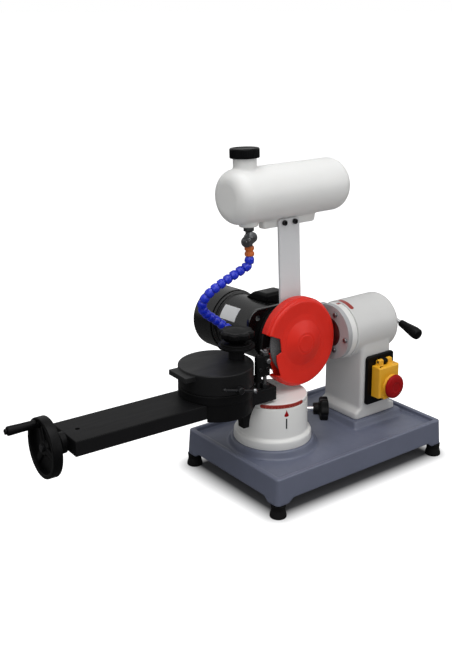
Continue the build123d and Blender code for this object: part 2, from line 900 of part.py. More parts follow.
# Clamp flange and fluted clamp knob
clamp_z = blade_z + run_gap
clamp_top = clamp_z + clamp_low_t + clamp_top_t
knob_z = clamp_top + run_gap
knob_low = knob_z + knob_neck_h
with BuildPart() as clamp_flange:
    cyl_z(clamp_r, clamp_z, clamp_z + clamp_low_t, arbor_x, axis_y)
    cyl_z(clamp_top_r, clamp_z + clamp_low_t, clamp_top, arbor_x, axis_y)
    chamfer(clamp_flange.edges().group_by(Axis.Z)[-1], length=fine_edge)
    cyl_z(pin_r + bore_gap, clamp_z, clamp_top, arbor_x, axis_y, Mode.SUBTRACT)
with BuildPart() as clamp_knob:
    cyl_z(knob_neck_r, knob_z, knob_low, arbor_x, axis_y)
    with BuildSketch(Plane.XY.offset(knob_low)):
        with Locations((arbor_x, axis_y)):
            Circle(knob_r)
            with PolarLocations(knob_r + flute_out, knob_flutes):
                Circle(flute_r, mode=Mode.SUBTRACT)
    extrude(amount=knob_h)
    chamfer(clamp_knob.edges().group_by(Axis.Z)[-1], length=small_edge)
    cyl_z(pin_r + bore_gap, knob_z, blade_z + pin_h + run_gap, arbor_x, axis_y, Mode.SUBTRACT)
    cyl_z(
        stud_r + bore_gap,
        knob_z,
        blade_z + pin_h + stud_h + run_gap,
        arbor_x,
        axis_y,
        Mode.SUBTRACT,
    )

# Table lock: screw, hub and tommy bar with a ball
tommy_y = table_lock_y - table_lock_hub_t / 2 - run_gap
tommy_mid = Vector(table_x, tommy_y, table_lock_z)
with BuildPart() as carriage_lock:
    cyl_y(table_lock_r, table_lock_y - run_gap, table_lock_y + table_lock_len, table_x, table_lock_z)
    cyl_y(
        table_lock_hub_r,
        table_lock_y - run_gap - table_lock_hub_t,
        table_lock_y - run_gap,
        table_x,
        table_lock_z,
    )
    with Locations(Location(tommy_mid, (0, 90 + tommy_angle, 0))):
        with Locations((0, 0, (tommy_right - tommy_left) / 2)):
            Cylinder(tommy_r, tommy_left + tommy_right)
        with Locations((0, 0, tommy_right)):
            Sphere(tommy_ball_r)
        with Locations((0, 0, -tommy_left)):
            Sphere(tommy_end_r)

# Tooth finger: two posts, a clamp that slides on them and a sprung finger
with BuildPart() as finger_posts:
    cyl_z(post_r, bar_top - post_sink, bar_top + post_h, post_x, finger_place_y)
    with BuildSketch(Plane.XY.offset(bar_top)):
        with Locations((post_x, finger_place_y)):
            RegularPolygon(post_nut_r, 6)
    extrude(amount=post_nut_h)
    cyl_z(rod_r, bar_top - post_sink, bar_top + rod_h, post_x - rod_pitch, finger_place_y)
clamp_low = bar_top + finger_clamp_z
with BuildPart() as finger_clamp:
    block(
        post_x - rod_pitch - finger_clamp_end,
        post_x + finger_clamp_nose,
        finger_place_y - finger_clamp_wid / 2,
        finger_place_y + finger_clamp_wid / 2,
        clamp_low,
        clamp_low + finger_clamp_h,
    )
    chamfer(finger_clamp.edges().filter_by(Axis.Z), length=small_edge)
    cyl_z(finger_boss_r, clamp_low - finger_boss_drop, clamp_low, post_x - rod_pitch, finger_place_y)
    cyl_z(post_r + bore_gap, clamp_low, clamp_low + finger_clamp_h, post_x, finger_place_y, Mode.SUBTRACT)
    cyl_z(
        rod_r + bore_gap,
        clamp_low - finger_boss_drop,
        clamp_low + finger_clamp_h,
        post_x - rod_pitch,
        finger_place_y,
        Mode.SUBTRACT,
    )
finger_z = clamp_low + finger_clamp_h + run_gap
with BuildPart() as finger_arm:
    cyl_z(finger_hub_r, finger_z, finger_z + finger_hub_h, post_x, finger_place_y)
    with BuildSketch(Plane.XY.offset(finger_z + (finger_hub_h - finger_t) / 2)):
        with Locations((post_x, finger_place_y)):
            with PolarLocations(0, 1, start_angle=finger_angle):
                with Locations((finger_len / 2, 0)):
                    SlotOverall(finger_len + finger_wid, finger_wid)
    extrude(amount=finger_t)
    cyl_z(post_r + bore_gap, finger_z, finger_z + finger_hub_h, post_x, finger_place_y, Mode.SUBTRACT)

# Column: plinth, hollow column and quill barrel in one casting
bore_back = barrel_back - barrel_rear_t
column_z = pad_z + plinth_h + plinth_slope
column_left = column_x - column_len / 2
plate_low = pad_z + plate_rise
plate_mid_x = column_x + plate_x
switch_low = plate_low + (plate_h - switch_h) / 2
cavity_z = quill_z - barrel_r + cavity_clear
with BuildSketch(plane_x(axis_y, quill_z)) as barrel_face:
    with BuildLine():
        Polyline(
            (barrel_back, barrel_r - barrel_round),
            (barrel_back, 0),
            (barrel_x, 0),
            (barrel_x, barrel_r),
            (barrel_back - barrel_round, barrel_r),
        )
        RadiusArc(
            (barrel_back - barrel_round, barrel_r), (barrel_back, barrel_r - barrel_round), barrel_round
        )
    make_face()
with BuildPart() as column:
    with BuildSketch(Plane.XY.offset(pad_z)):
        with Locations((plinth_x, axis_y)):
            RectangleRounded(plinth_len, plinth_wid, column_edge)
    extrude(amount=plinth_h)
    with BuildSketch(Plane.XY.offset(pad_z + plinth_h)):
        with Locations((plinth_x, axis_y)):
            RectangleRounded(plinth_len, plinth_wid, column_edge)
    with BuildSketch(Plane.XY.offset(column_z)):
        with Locations((column_x, axis_y)):
            RectangleRounded(column_len, plinth_wid, column_edge)
    loft(ruled=True)
    with BuildSketch(Plane.XY.offset(column_z)):
        with Locations((column_x, axis_y)):
            RectangleRounded(column_len, plinth_wid, column_edge)
    extrude(amount=quill_z - column_z)
    revolve(barrel_face.sketch, axis=quill_axis)
    block(
        column_left + column_wall,
        column_left + column_len - column_wall,
        column_y + column_front_t,
        column_y + plinth_wid - column_wall,
        pad_z,
        cavity_z,
        Mode.SUBTRACT,
    )
    block(
        plate_mid_x - switch_wid / 2 - flap_x - run_gap,
        plate_mid_x + switch_wid / 2 - flap_x + run_gap,
        column_y - run_gap,
        column_y + column_front_t,
        switch_low - run_gap,
        switch_low + switch_h + run_gap,
        Mode.SUBTRACT,
    )
    cyl_x(bush_r + snug_gap, barrel_x, bore_back, axis_y, quill_z, Mode.SUBTRACT)
    cyl_x(tail_r + bore_gap, bore_back, barrel_back, axis_y, quill_z, Mode.SUBTRACT)
    for x, y in column_screw_places:
        cyl_z(screw_r + snug_gap, pad_z, casting_screw_top + run_gap, x, y, Mode.SUBTRACT)

# Bronze bushes at both ends of the barrel bore
with BuildPart() as quill_bushes:
    cyl_x(bush_r, barrel_x, barrel_x + bush_len, axis_y, quill_z)
    cyl_x(bush_r, bore_back - bush_len, bore_back, axis_y, quill_z)
    cyl_x(quill_r + bore_gap, barrel_x, bore_back, axis_y, quill_z, Mode.SUBTRACT)

# Quill: sliding barrel with a nose for the head and a tail for the lever
nose_x = front_x + tilt_head_t
quill_back = ring_x + quill_len
tail_back = quill_back + tail_len
with BuildPart() as quill:
    cyl_x(quill_r, ring_x + run_gap, quill_back, axis_y, quill_z)
    cyl_x(nose_r, nose_x, ring_x + run_gap, axis_y, quill_z)
    cyl_x(tail_r, quill_back, tail_back, axis_y, quill_z)
    cyl_x(tilt_bolt_r + snug_gap, nose_x, nose_x + tilt_bolt_len, axis_y, quill_z, Mode.SUBTRACT)

# Tilt bolt: broad head sunk in the bracket face
with BuildPart() as tilt_bolt:
    cyl_x(tilt_head_r, nose_x - tilt_head_t, nose_x, axis_y, quill_z)
    cyl_x(tilt_bolt_r, nose_x, nose_x + tilt_bolt_len, axis_y, quill_z)

# Stroke lever on the quill tail, pointing forwards and a little down
hub_start = barrel_back + hub_gap
lever_x = hub_start + hub_len / 2
lever_dir = Vector(0, -math.cos(math.radians(lever_dip)), -math.sin(math.radians(lever_dip)))
lever_root = Vector(lever_x, axis_y, quill_z)
with BuildPart() as stroke_lever:
    cyl_x(hub_r, hub_start, hub_start + hub_len, axis_y, quill_z)
    chamfer(stroke_lever.edges().filter_by(GeomType.CIRCLE), length=small_edge)
    with BuildSketch(Plane(lever_root, x_dir=(1, 0, 0), z_dir=lever_dir)):
        Circle(lever_rod_r)
    extrude(amount=lever_rod_len)
    cyl_x(tail_r + snug_gap, hub_start, hub_start + hub_len, axis_y, quill_z, Mode.SUBTRACT)
grip_face = turned_face(
    Plane(lever_root, x_dir=lever_dir, z_dir=(1, 0, 0)),
    [
        (grip_start, 0),
        (grip_start, grip_small_r),
        (grip_start + grip_len - grip_round, grip_big_r),
        (grip_start + grip_len, grip_big_r - grip_round),
        (grip_start + grip_len, 0),
    ],
)
with BuildPart() as lever_grip:
    revolve(grip_face, axis=Axis(lever_root, lever_dir))
    with BuildSketch(Plane(lever_root, x_dir=(1, 0, 0), z_dir=lever_dir)):
        Circle(lever_rod_r + snug_gap)
    extrude(amount=lever_rod_len, mode=Mode.SUBTRACT)

# Switch: plate on the column, contact block behind it, flap in front
switch_x = plate_mid_x - flap_x
plate_front = column_y - plate_t
flap_low = plate_low + flap_rise
flap_top = flap_low + flap_h
flap_mid_x = plate_mid_x + flap_x
flap_back = plate_front - run_gap
flap_front = flap_back - flap_deep
hinge_y = plate_front - hinge_out
hinge_z = flap_top + hinge_up
stop_x = plate_mid_x + mushroom_x
stop_z = flap_low + mushroom_z
start_x = stop_x + start_dx
start_z = stop_z + start_dz
lug_inner = hinge_pitch / 2 - hinge_lug_wid / 2 - run_gap
pin_half = hinge_pitch / 2 + hinge_lug_wid / 2
with BuildPart() as switch_plate:
    with BuildSketch(Plane.XZ.offset(-column_y)):
        with Locations((plate_mid_x, plate_low + plate_h / 2)):
            RectangleRounded(plate_wid, plate_h, plate_corner)
    extrude(amount=plate_t)
    chamfer(switch_plate.faces().sort_by(Axis.Y)[0].edges(), length=small_edge)
    block(
        flap_mid_x - lug_inner,
        flap_mid_x + lug_inner,
        hinge_y,
        plate_front,
        hinge_z - hinge_lug_r,
        hinge_z + hinge_lug_r,
    )
    cyl_x(hinge_lug_r, flap_mid_x - lug_inner, flap_mid_x + lug_inner, hinge_y, hinge_z)
    cyl_x(
        flap_pin_r + snug_gap,
        flap_mid_x - lug_inner,
        flap_mid_x + lug_inner,
        hinge_y,
        hinge_z,
        Mode.SUBTRACT,
    )
    for x, z in ((start_x, start_z), (stop_x, stop_z)):
        cyl_y(button_r + bore_gap, plate_front, column_y, x, z, Mode.SUBTRACT)
with BuildPart() as switch_body:
    block(
        switch_x - switch_wid / 2,
        switch_x + switch_wid / 2,
        column_y,
        column_y + switch_deep,
        switch_low,
        switch_low + switch_h,
    )
    for x, z in ((start_x, start_z), (stop_x, stop_z)):
        cyl_y(button_r + bore_gap, column_y, column_y + button_well, x, z, Mode.SUBTRACT)
with BuildPart() as flap_pin:
    cyl_x(flap_pin_r, flap_mid_x - pin_half, flap_mid_x + pin_half, hinge_y, hinge_z)
with BuildPart() as start_button:
    cyl_y(button_r, plate_front - button_out, column_y + button_travel - run_gap, start_x, start_z)
with BuildPart() as stop_button:
    cyl_y(button_r, plate_front - button_out, column_y + button_travel - run_gap, stop_x, stop_z)
with BuildPart() as switch_flap:
    block(
        flap_mid_x - flap_wid / 2, flap_mid_x + flap_wid / 2, flap_front, flap_back, flap_low, flap_top
    )
    chamfer(switch_flap.faces().sort_by(Axis.Y)[0].edges(), length=broad_edge)
    cyl_y(collar_r, flap_front - collar_t, flap_front, stop_x, stop_z)
    block(
        flap_mid_x - flap_tab_wid / 2,
        flap_mid_x + flap_tab_wid / 2,
        flap_front - flap_tab_out,
        flap_front + flap_tab_in,
        flap_low - flap_tab_h,
        flap_low + flap_wall,
    )
    block(
        flap_mid_x - flap_wid / 2 + flap_wall,
        flap_mid_x + flap_wid / 2 - flap_wall,
        flap_front + flap_wall,
        flap_back,
        flap_low + flap_wall,
        flap_top - flap_wall,
        Mode.SUBTRACT,
    )
    for side in (-1, 1):
        lug_x = flap_mid_x + side * hinge_pitch / 2
        block(
            lug_x - hinge_lug_wid / 2,
            lug_x + hinge_lug_wid / 2,
            hinge_y - hinge_lug_r,
            hinge_y + hinge_lug_r,
            flap_top - flap_wall,
            hinge_z,
        )
        block(
            lug_x - hinge_lug_wid / 2,
            lug_x + hinge_lug_wid / 2,
            hinge_y - hinge_lug_r,
            hinge_y,
            hinge_z,
            hinge_z + hinge_lug_top,
        )
        cyl_x(hinge_lug_r, lug_x - hinge_lug_wid / 2, lug_x + hinge_lug_wid / 2, hinge_y, hinge_z)
        cyl_x(
            flap_pin_r + bore_gap,
            lug_x - hinge_lug_wid / 2,
            lug_x + hinge_lug_wid / 2,
            hinge_y,
            hinge_z,
            Mode.SUBTRACT,
        )
    cyl_y(
        mushroom_stem_r + bore_gap,
        flap_front - collar_t,
        flap_front + flap_wall,
        stop_x,
        stop_z,
        Mode.SUBTRACT,
    )
mushroom_back = flap_front - collar_t - mushroom_travel - run_gap
mushroom_front = mushroom_back - mushroom_t
stem_tip = plate_front - button_out - run_gap
with BuildPart() as stop_mushroom:
    cyl_y(mushroom_r, mushroom_front, mushroom_back, stop_x, stop_z)
    fillet(stop_mushroom.edges().group_by(Axis.Y)[0], radius=mushroom_round)
    cyl_y(mushroom_stem_r, mushroom_back, stem_tip, stop_x, stop_z)

# Head ring and bracket: a face that turns on the quill nose and an arm that carries the motor
post_z = motor_z + post_low
with BuildPart() as swivel_ring:
    cyl_x(ring_r, face_x, ring_x, axis_y, quill_z)
    chamfer(swivel_ring.edges().group_by(Axis.X)[0], length=fine_edge)
    cyl_x(nose_r + bore_gap, face_x, ring_x, axis_y, quill_z, Mode.SUBTRACT)
with BuildPart() as head_bracket:
    cyl_x(ring_r, front_x, face_x, axis_y, quill_z)
    with BuildSketch(Plane.XZ.offset(-motor_y)):
        with Locations((wheel_x, motor_z)):
            Circle(bracket_r)
        with Locations(((wheel_x + face_x) / 2, quill_z + (arm_up - arm_down) / 2)):
            Rectangle(face_x - wheel_x, arm_up + arm_down)
    extrude(amount=bracket_t)
    cyl_y(boss_out_r, guard_back_y, plate_y, wheel_x, motor_z)
    cyl_y(bracket_bore_r, guard_back_y, motor_y, wheel_x, motor_z, Mode.SUBTRACT)
    cyl_x(nose_r + bore_gap, front_x, face_x, axis_y, quill_z, Mode.SUBTRACT)
    cyl_x(tilt_head_r + run_gap, front_x, nose_x + run_gap, axis_y, quill_z, Mode.SUBTRACT)
    for y, z in face_bolt_places:
        cyl_x(
            face_bolt_r + snug_gap,
            front_x,
            front_x + face_bolt_sink,
            axis_y + y,
            quill_z + z,
            Mode.SUBTRACT,
        )
    for side in (-1, 1):
        cyl_y(
            head_screw_r + snug_gap,
            plate_y,
            plate_y + bracket_t,
            wheel_x + side * post_screw_x,
            post_z + post_screw_low,
            Mode.SUBTRACT,
        )

# Tank post: flat bar from the bracket up to the tank rib
post_front = plate_y - post_t
post_top = post_z + post_len
rib_screw_z = post_top - post_screw_in
with BuildPart() as tank_post:
    with BuildSketch(Plane.XZ.offset(-plate_y)):
        with Locations((wheel_x, post_z + post_len / 2)):
            RectangleRounded(post_wid, post_len, post_corner)
    extrude(amount=post_t)
    for side in (-1, 1):
        x = wheel_x + side * post_screw_x
        cyl_y(head_screw_r + snug_gap, post_front, plate_y, x, rib_screw_z, Mode.SUBTRACT)
        cyl_y(head_screw_r + snug_gap, post_front, plate_y, x, post_z + post_screw_low, Mode.SUBTRACT)
        cyl_y(
            head_screw_cap_r + snug_gap,
            post_front,
            post_front + flat_head_h,
            x,
            post_z + post_screw_low,
            Mode.SUBTRACT,
        )

# Head screws: cap screws on the bracket face and the tank rib, flat ones at the post's foot
with BuildPart() as head_screws:
    for y, z in face_bolt_places:
        cyl_x(face_bolt_cap_r, front_x - face_bolt_h, front_x, axis_y + y, quill_z + z)
        cyl_x(face_bolt_r, front_x, front_x + face_bolt_sink, axis_y + y, quill_z + z)
    for side in (-1, 1):
        x = wheel_x + side * post_screw_x
        cyl_y(head_screw_cap_r, post_front - head_screw_h, post_front, x, rib_screw_z)
        cyl_y(head_screw_r, post_front, post_front + head_screw_len, x, rib_screw_z)
        cyl_y(head_screw_cap_r, post_front, post_front + flat_head_h, x, post_z + post_screw_low)
        cyl_y(
            head_screw_r,
            post_front + flat_head_h,
            post_front + head_screw_len,
            x,
            post_z + post_screw_low,
        )

# Motor: housing with a lug on its flange, bearings, stator, fan cover and junction box
motor_back = motor_y + motor_len
inner_front = motor_y + motor_end_t
inner_back = motor_back - motor_rear_t
stator_y = motor_y + stator_start
front_bearing_y = inner_front - bearing_wid
inner_r = motor_r - motor_wall
cover_y = motor_back - motor_seat_t
with BuildPart() as motor_housing:
    cyl_y(motor_flange_r, motor_y, motor_y + motor_flange_t, wheel_x, motor_z)
    chamfer(motor_housing.edges().group_by(Axis.Y)[-1], length=motor_flange_edge)
    with BuildSketch(Plane.XZ.offset(-(motor_y + motor_flange_t))):
        with BuildLine():
            lug_left = wheel_x - motor_lug_x
            lug_top = motor_z + motor_lug_z
            toe = math.radians(motor_lug_toe)
            toe_x = wheel_x + motor_flange_r * math.cos(toe)
            toe_z = motor_z + motor_flange_r * math.sin(toe)
            Line((wheel_x, lug_top), (lug_left + motor_lug_round, lug_top))
            RadiusArc(
                (lug_left + motor_lug_round, lug_top),
                (lug_left, lug_top - motor_lug_round),
                -motor_lug_round,
            )
            Line((lug_left, lug_top - motor_lug_round), (lug_left, motor_z + motor_lug_low))
            Line((lug_left, motor_z + motor_lug_low), (toe_x, toe_z))
            Line((toe_x, toe_z), (wheel_x, motor_z))
            Line((wheel_x, motor_z), (wheel_x, lug_top))
        make_face()
    extrude(amount=motor_flange_t)
    cyl_y(
        lug_hole_r,
        motor_y,
        motor_y + motor_flange_t,
        wheel_x - lug_hole_x,
        motor_z + lug_hole_z,
        Mode.SUBTRACT,
    )
    cyl_y(motor_r, motor_y, motor_back, wheel_x, motor_z)
    cyl_y(motor_seat_r, cover_y - motor_seat_t, cover_y, wheel_x, motor_z)
    cyl_y(inner_r, inner_front, stator_y + stator_len, wheel_x, motor_z, Mode.SUBTRACT)
    cyl_y(inner_r - stator_step, stator_y + stator_len, inner_back, wheel_x, motor_z, Mode.SUBTRACT)
    cyl_y(bearing_lip_r, motor_y, motor_back, wheel_x, motor_z, Mode.SUBTRACT)
    cyl_y(bearing_out_r + snug_gap, front_bearing_y, inner_front, wheel_x, motor_z, Mode.SUBTRACT)
    cyl_y(bearing_out_r + snug_gap, inner_back, inner_back + bearing_wid, wheel_x, motor_z, Mode.SUBTRACT)
with BuildPart() as motor_bearings:
    cyl_y(bearing_out_r, front_bearing_y, inner_front, wheel_x, motor_z)
    cyl_y(bearing_out_r, inner_back, inner_back + bearing_wid, wheel_x, motor_z)
    cyl_y(shaft_r + bore_gap, motor_y, motor_back, wheel_x, motor_z, Mode.SUBTRACT)
with BuildPart() as stator:
    cyl_y(inner_r - snug_gap, stator_y, stator_y + stator_len, wheel_x, motor_z)
    cyl_y(stator_in_r, stator_y, stator_y + stator_len, wheel_x, motor_z, Mode.SUBTRACT)
cover_back = cover_y + fan_cover_len
with BuildPart() as fan_cover:
    cyl_y(fan_cover_r, cover_y, cover_back, wheel_x, motor_z)
    fillet(fan_cover.edges().group_by(Axis.Y)[-1], radius=fan_cover_round)
    cyl_y(motor_r + snug_gap, cover_y, motor_back, wheel_x, motor_z, Mode.SUBTRACT)
    cyl_y(fan_cover_r - fan_cover_t, motor_back, cover_back - fan_cover_t, wheel_x, motor_z, Mode.SUBTRACT)
    with BuildSketch(Plane.XZ.offset(-cover_back)):
        with Locations((wheel_x, motor_z)):
            with PolarLocations(fan_slot_r, fan_slots):
                SlotOverall(fan_slot_len, fan_slot_wid)
    extrude(amount=fan_cover_t + run_gap, mode=Mode.SUBTRACT)
box_y = motor_y + box_start
with BuildPart() as junction_box:
    with BuildSketch(Plane.YZ.offset(wheel_x + box_shift - box_wid / 2)):
        with BuildLine():
            Polyline(
                (box_y, motor_z + box_foot),
                (box_y, motor_z + box_top),
                (box_y + box_len - box_slope_len, motor_z + box_top),
                (box_y + box_len, motor_z + box_top - box_slope_drop),
                (box_y + box_len, motor_z + box_foot),
                close=True,
            )
        make_face()
    extrude(amount=box_wid)
    chamfer(junction_box.faces().sort_by(Axis.Z)[-1].edges(), length=box_edge)
    cyl_y(motor_r, box_y, box_y + box_len, wheel_x, motor_z, Mode.SUBTRACT)

# Rotor: shaft, core, fan, wheel flanges, grinding wheel and nut on one axis
stone_y = stone_back
nut_y = stone_y - stone_t - collet_t
fan_y = motor_back + fan_gap
shaft_front = nut_y - nut_t
with BuildPart() as rotor_shaft:
    cyl_y(shaft_r, shaft_front, fan_y + fan_t, wheel_x, motor_z)
    cyl_y(core_r, stator_y, stator_y + stator_len, wheel_x, motor_z)
with BuildPart() as cooling_fan:
    cyl_y(fan_hub_r, fan_y, fan_y + fan_t, wheel_x, motor_z)
    with Locations(Location((wheel_x, fan_y + fan_t / 2, motor_z), (90, 0, 0))):
        with PolarLocations((fan_r + fan_hub_r - fan_root) / 2, fan_blades):
            Box(fan_r - fan_hub_r + fan_root, fan_blade_t, fan_t)
    cyl_y(shaft_r + snug_gap, fan_y, fan_y + fan_t, wheel_x, motor_z, Mode.SUBTRACT)
with BuildPart() as wheel_flanges:
    cyl_y(collet_r, stone_y, stone_y + collet_t, wheel_x, motor_z)
    cyl_y(collet_r, nut_y, nut_y + collet_t, wheel_x, motor_z)
    cyl_y(shaft_r + snug_gap, nut_y, stone_y + collet_t, wheel_x, motor_z, Mode.SUBTRACT)
stone_face = turned_face(
    plane_y(wheel_x, motor_z),
    [
        (stone_y, shaft_r + snug_gap),
        (stone_y, stone_r),
        (stone_y - stone_dish, stone_r),
        (stone_y - stone_t + stone_dish, stone_hub_r + stone_t),
        (stone_y - stone_t, stone_hub_r),
        (stone_y - stone_t, shaft_r + snug_gap),
    ],
)
with BuildPart() as grinding_wheel:
    revolve(stone_face, axis=motor_axis)
with BuildPart() as wheel_nut:
    with BuildSketch(Plane.XZ.offset(-nut_y)):
        with Locations((wheel_x, motor_z)):
            RegularPolygon(nut_r, 6)
            Circle(shaft_r + snug_gap, mode=Mode.SUBTRACT)
    extrude(amount=nut_t)

# Guard: back shell on the bracket boss and a domed cover, notched where the wheel meets the blade
notch = (notch_top, notch_upper, notch_lower, notch_step, notch_heel, notch_toe, notch_low)
notch_points = [(wheel_x + x, motor_z + z) for x, z in notch]
back_face = turned_face(
    plane_y(wheel_x, motor_z),
    [
        (guard_back_y, guard_hole_r),
        (guard_back_y, guard_r),
        (guard_seam_y, guard_r),
        (guard_seam_y, guard_r - guard_wall),
        (guard_back_y - guard_wall, guard_r - guard_wall),
        (guard_back_y - guard_wall, guard_hole_r),
    ],
)
with BuildPart() as guard_back:
    revolve(back_face, axis=motor_axis)
    with BuildSketch(Plane.XZ.offset(-guard_back_y)):
        with BuildLine():
            Polyline(*notch_points, close=True)
        make_face()
    extrude(amount=guard_r, mode=Mode.SUBTRACT)
dome_y = cover_front_y - dome_h
with BuildPart() as guard_cover:
    with BuildSketch(plane_y(wheel_x, motor_z)):
        with BuildLine():
            Line((guard_seam_y, guard_r), (guard_seam_y, cover_r - guard_wall))
            Line((guard_seam_y, cover_r - guard_wall), (cover_front_y + cover_round, cover_r - guard_wall))
            RadiusArc(
                (cover_front_y + cover_round, cover_r - guard_wall),
                (cover_front_y + guard_wall, cover_r - cover_round),
                cover_round - guard_wall,
            )
            Polyline(
                (cover_front_y + guard_wall, cover_r - cover_round),
                (cover_front_y + guard_wall, dome_r),
                (dome_y + guard_wall, dome_top_r),
                (dome_y + guard_wall, 0),
                (dome_y, 0),
                (dome_y, dome_top_r),
                (cover_front_y, dome_r),
                (cover_front_y, cover_r - cover_round),
            )
            RadiusArc(
                (cover_front_y, cover_r - cover_round), (cover_front_y + cover_round, cover_r), -cover_round
            )
            Polyline(
                (cover_front_y + cover_round, cover_r),
                (guard_seam_y - guard_wall, cover_r),
                (guard_seam_y - guard_wall, guard_r),
                (guard_seam_y, guard_r),
            )
        make_face()
    revolve(axis=motor_axis)
    with BuildSketch(Plane.XZ.offset(-guard_back_y)):
        with BuildLine():
            Polyline(*notch_points, close=True)
        make_face()
    extrude(amount=guard_r, mode=Mode.SUBTRACT)

# Coolant tank: hollow drum with a mounting rib and an outlet boss, and the filler neck on its seat
tank_y = plate_y + tank_behind
tank_right = tank_left + tank_len
rib_z = rib_screw_z - post_screw_in
tank_z = rib_z + rib_h + tank_r - tank_wall
tank_axis = Axis((0, tank_y, tank_z), (1, 0, 0))
neck_place = tank_left + neck_x
outlet_place = tank_left + outlet_x
outlet_low = tank_z - tank_r - outlet_drop
neck_top = tank_z + tank_r + neck_h


def drum_face(radius, start, end, corner):
    with BuildSketch(plane_x(tank_y, tank_z)) as profile:
        with BuildLine():
            Line((start, 0), (start, radius - corner))
            RadiusArc((start, radius - corner), (start + corner, radius), corner)
            Line((start + corner, radius), (end - corner, radius))
            RadiusArc((end - corner, radius), (end, radius - corner), corner)
            Line((end, radius - corner), (end, 0))
            Line((end, 0), (start, 0))
        make_face()
    return profile.sketch


tank_outer = drum_face(tank_r, tank_left, tank_right, tank_round)
tank_inner = drum_face(
    tank_r - tank_wall, tank_left + tank_wall, tank_right - tank_wall, tank_round - tank_wall
)
with BuildPart() as coolant_tank:
    revolve(tank_outer, axis=tank_axis)
    cyl_z(outlet_r, outlet_low, tank_z, outlet_place, tank_y)
    with BuildSketch(Plane.XZ.offset(-(plate_y + rib_t))):
        with Locations((wheel_x + (rib_right - rib_left) / 2, (rib_z + tank_z) / 2)):
            RectangleRounded(rib_left + rib_right, tank_z - rib_z, post_corner)
    extrude(amount=rib_t)
    revolve(tank_inner, axis=tank_axis, mode=Mode.SUBTRACT)
    cyl_z(neck_seat_r, tank_z, neck_top, neck_place, tank_y, Mode.SUBTRACT)
    cyl_z(outlet_bore_r, outlet_low, tank_z, outlet_place, tank_y, Mode.SUBTRACT)
    for side in (-1, 1):
        cyl_y(
            head_screw_r + snug_gap,
            plate_y,
            post_front + head_screw_len + run_gap,
            wheel_x + side * post_screw_x,
            rib_screw_z,
            Mode.SUBTRACT,
        )
with BuildPart() as filler_neck:
    revolve(tank_outer, axis=tank_axis)
    cyl_z(neck_seat_r, tank_z, neck_top, neck_place, tank_y, Mode.INTERSECT)
    cyl_z(neck_r, tank_z, neck_top, neck_place, tank_y)
    revolve(tank_inner, axis=tank_axis, mode=Mode.SUBTRACT)
    cyl_z(neck_r - tank_wall, tank_z, neck_top, neck_place, tank_y, Mode.SUBTRACT)
cap_z = neck_top + run_gap - cap_low
with BuildPart() as tank_cap:
    cyl_z(cap_r, cap_z, cap_z + cap_h, neck_place, tank_y)
    chamfer(tank_cap.edges().group_by(Axis.Z)[-1], length=small_edge)
    cyl_z(neck_r + run_gap, cap_z, cap_z + cap_low, neck_place, tank_y, Mode.SUBTRACT)

# Valve under the outlet, its wing handle and the hose fitting
valve_low = outlet_low - valve_len
ball_z = outlet_low - valve_ball_drop
turn_sin = math.sin(math.radians(valve_turn))
turn_cos = math.cos(math.radians(valve_turn))
wing_line = Plane(
    (outlet_place, tank_y, ball_z), x_dir=(turn_cos, -turn_sin, 0), z_dir=(-turn_sin, -turn_cos, 0)
)
with BuildPart() as valve_body:
    with BuildSketch(Plane.XY.offset(outlet_low - valve_nut_h)):
        with Locations((outlet_place, tank_y)):
            RegularPolygon(valve_nut_r, 6)
    extrude(amount=valve_nut_h)
    cyl_z(valve_neck_r, valve_low, outlet_low - valve_nut_h, outlet_place, tank_y)
    with Locations((outlet_place, tank_y, ball_z)):
        Sphere(valve_ball_r)
    cyl_z(outlet_bore_r, valve_low, outlet_low, outlet_place, tank_y, Mode.SUBTRACT)
    with BuildSketch(wing_line):
        Circle(wing_stem_r + bore_gap)
    extrude(amount=wing_out, mode=Mode.SUBTRACT)
with BuildPart() as valve_handle:
    with BuildSketch(wing_line.offset(wing_out)):
        with PolarLocations(0, 1, start_angle=wing_angle):
            SlotOverall(wing_len, wing_wid)
    extrude(amount=wing_t)
    with BuildSketch(wing_line.offset(outlet_bore_r)):
        Circle(wing_stem_r)
    extrude(amount=wing_out - outlet_bore_r)
fitting_low = valve_low - fitting_h
fitting_face = turned_face(
    plane_z(outlet_place, tank_y),
    [
        (outlet_bore_r, valve_low),
        (fitting_r, valve_low),
        (fitting_r, valve_low - fitting_collar),
        (fitting_r - fitting_waist, valve_low - fitting_collar - fitting_slope),
        (fitting_r - fitting_waist, fitting_low + fitting_collar + fitting_slope),
        (fitting_r, fitting_low + fitting_collar),
        (fitting_r, fitting_low),
        (outlet_bore_r, fitting_low),
    ],
)
with BuildPart() as hose_fitting:
    revolve(fitting_face, axis=Axis((outlet_place, tank_y, 0), (0, 0, 1)))

# Jointed coolant hose: ball-and-socket links along a smooth route, from the fitting down to the nozzle
hose_start = Vector(outlet_place, tank_y, fitting_low)
hose_points = [
    hose_start,
    hose_start - Vector(0, 0, hose_straight),
    Vector(-141, 33, 386),
    Vector(-159, 41, 375),
    Vector(-179, 52, 361),
    Vector(-196, 63, 346),
    Vector(-203, 74, 329),
    Vector(-199, 80, 313),
    Vector(-186, 83, 301),
    Vector(-170, 83, 290),
    Vector(-157, 79, 278),
    Vector(-146, 72, 268),
]
with BuildLine() as hose_route:
    mids = [(a + b) * 0.5 for a, b in zip(hose_points[1:-2], hose_points[2:-1])]
    joints = [hose_points[0]] + mids + [hose_points[-1]]
    for k, corner in enumerate(hose_points[1:-1]):
        Bezier(joints[k], corner, joints[k + 1])
hose_path = hose_route.wire()
hose_pitch = hose_path.length / hose_segments
link_shape = ((0.0, hose_neck_r), (0.2, hose_bell_r), (0.62, hose_bell_r), (0.84, hose_neck_r))
hose_rings = [
    ((k + share) / hose_segments, radius) for k in range(hose_segments) for share, radius in link_shape
]
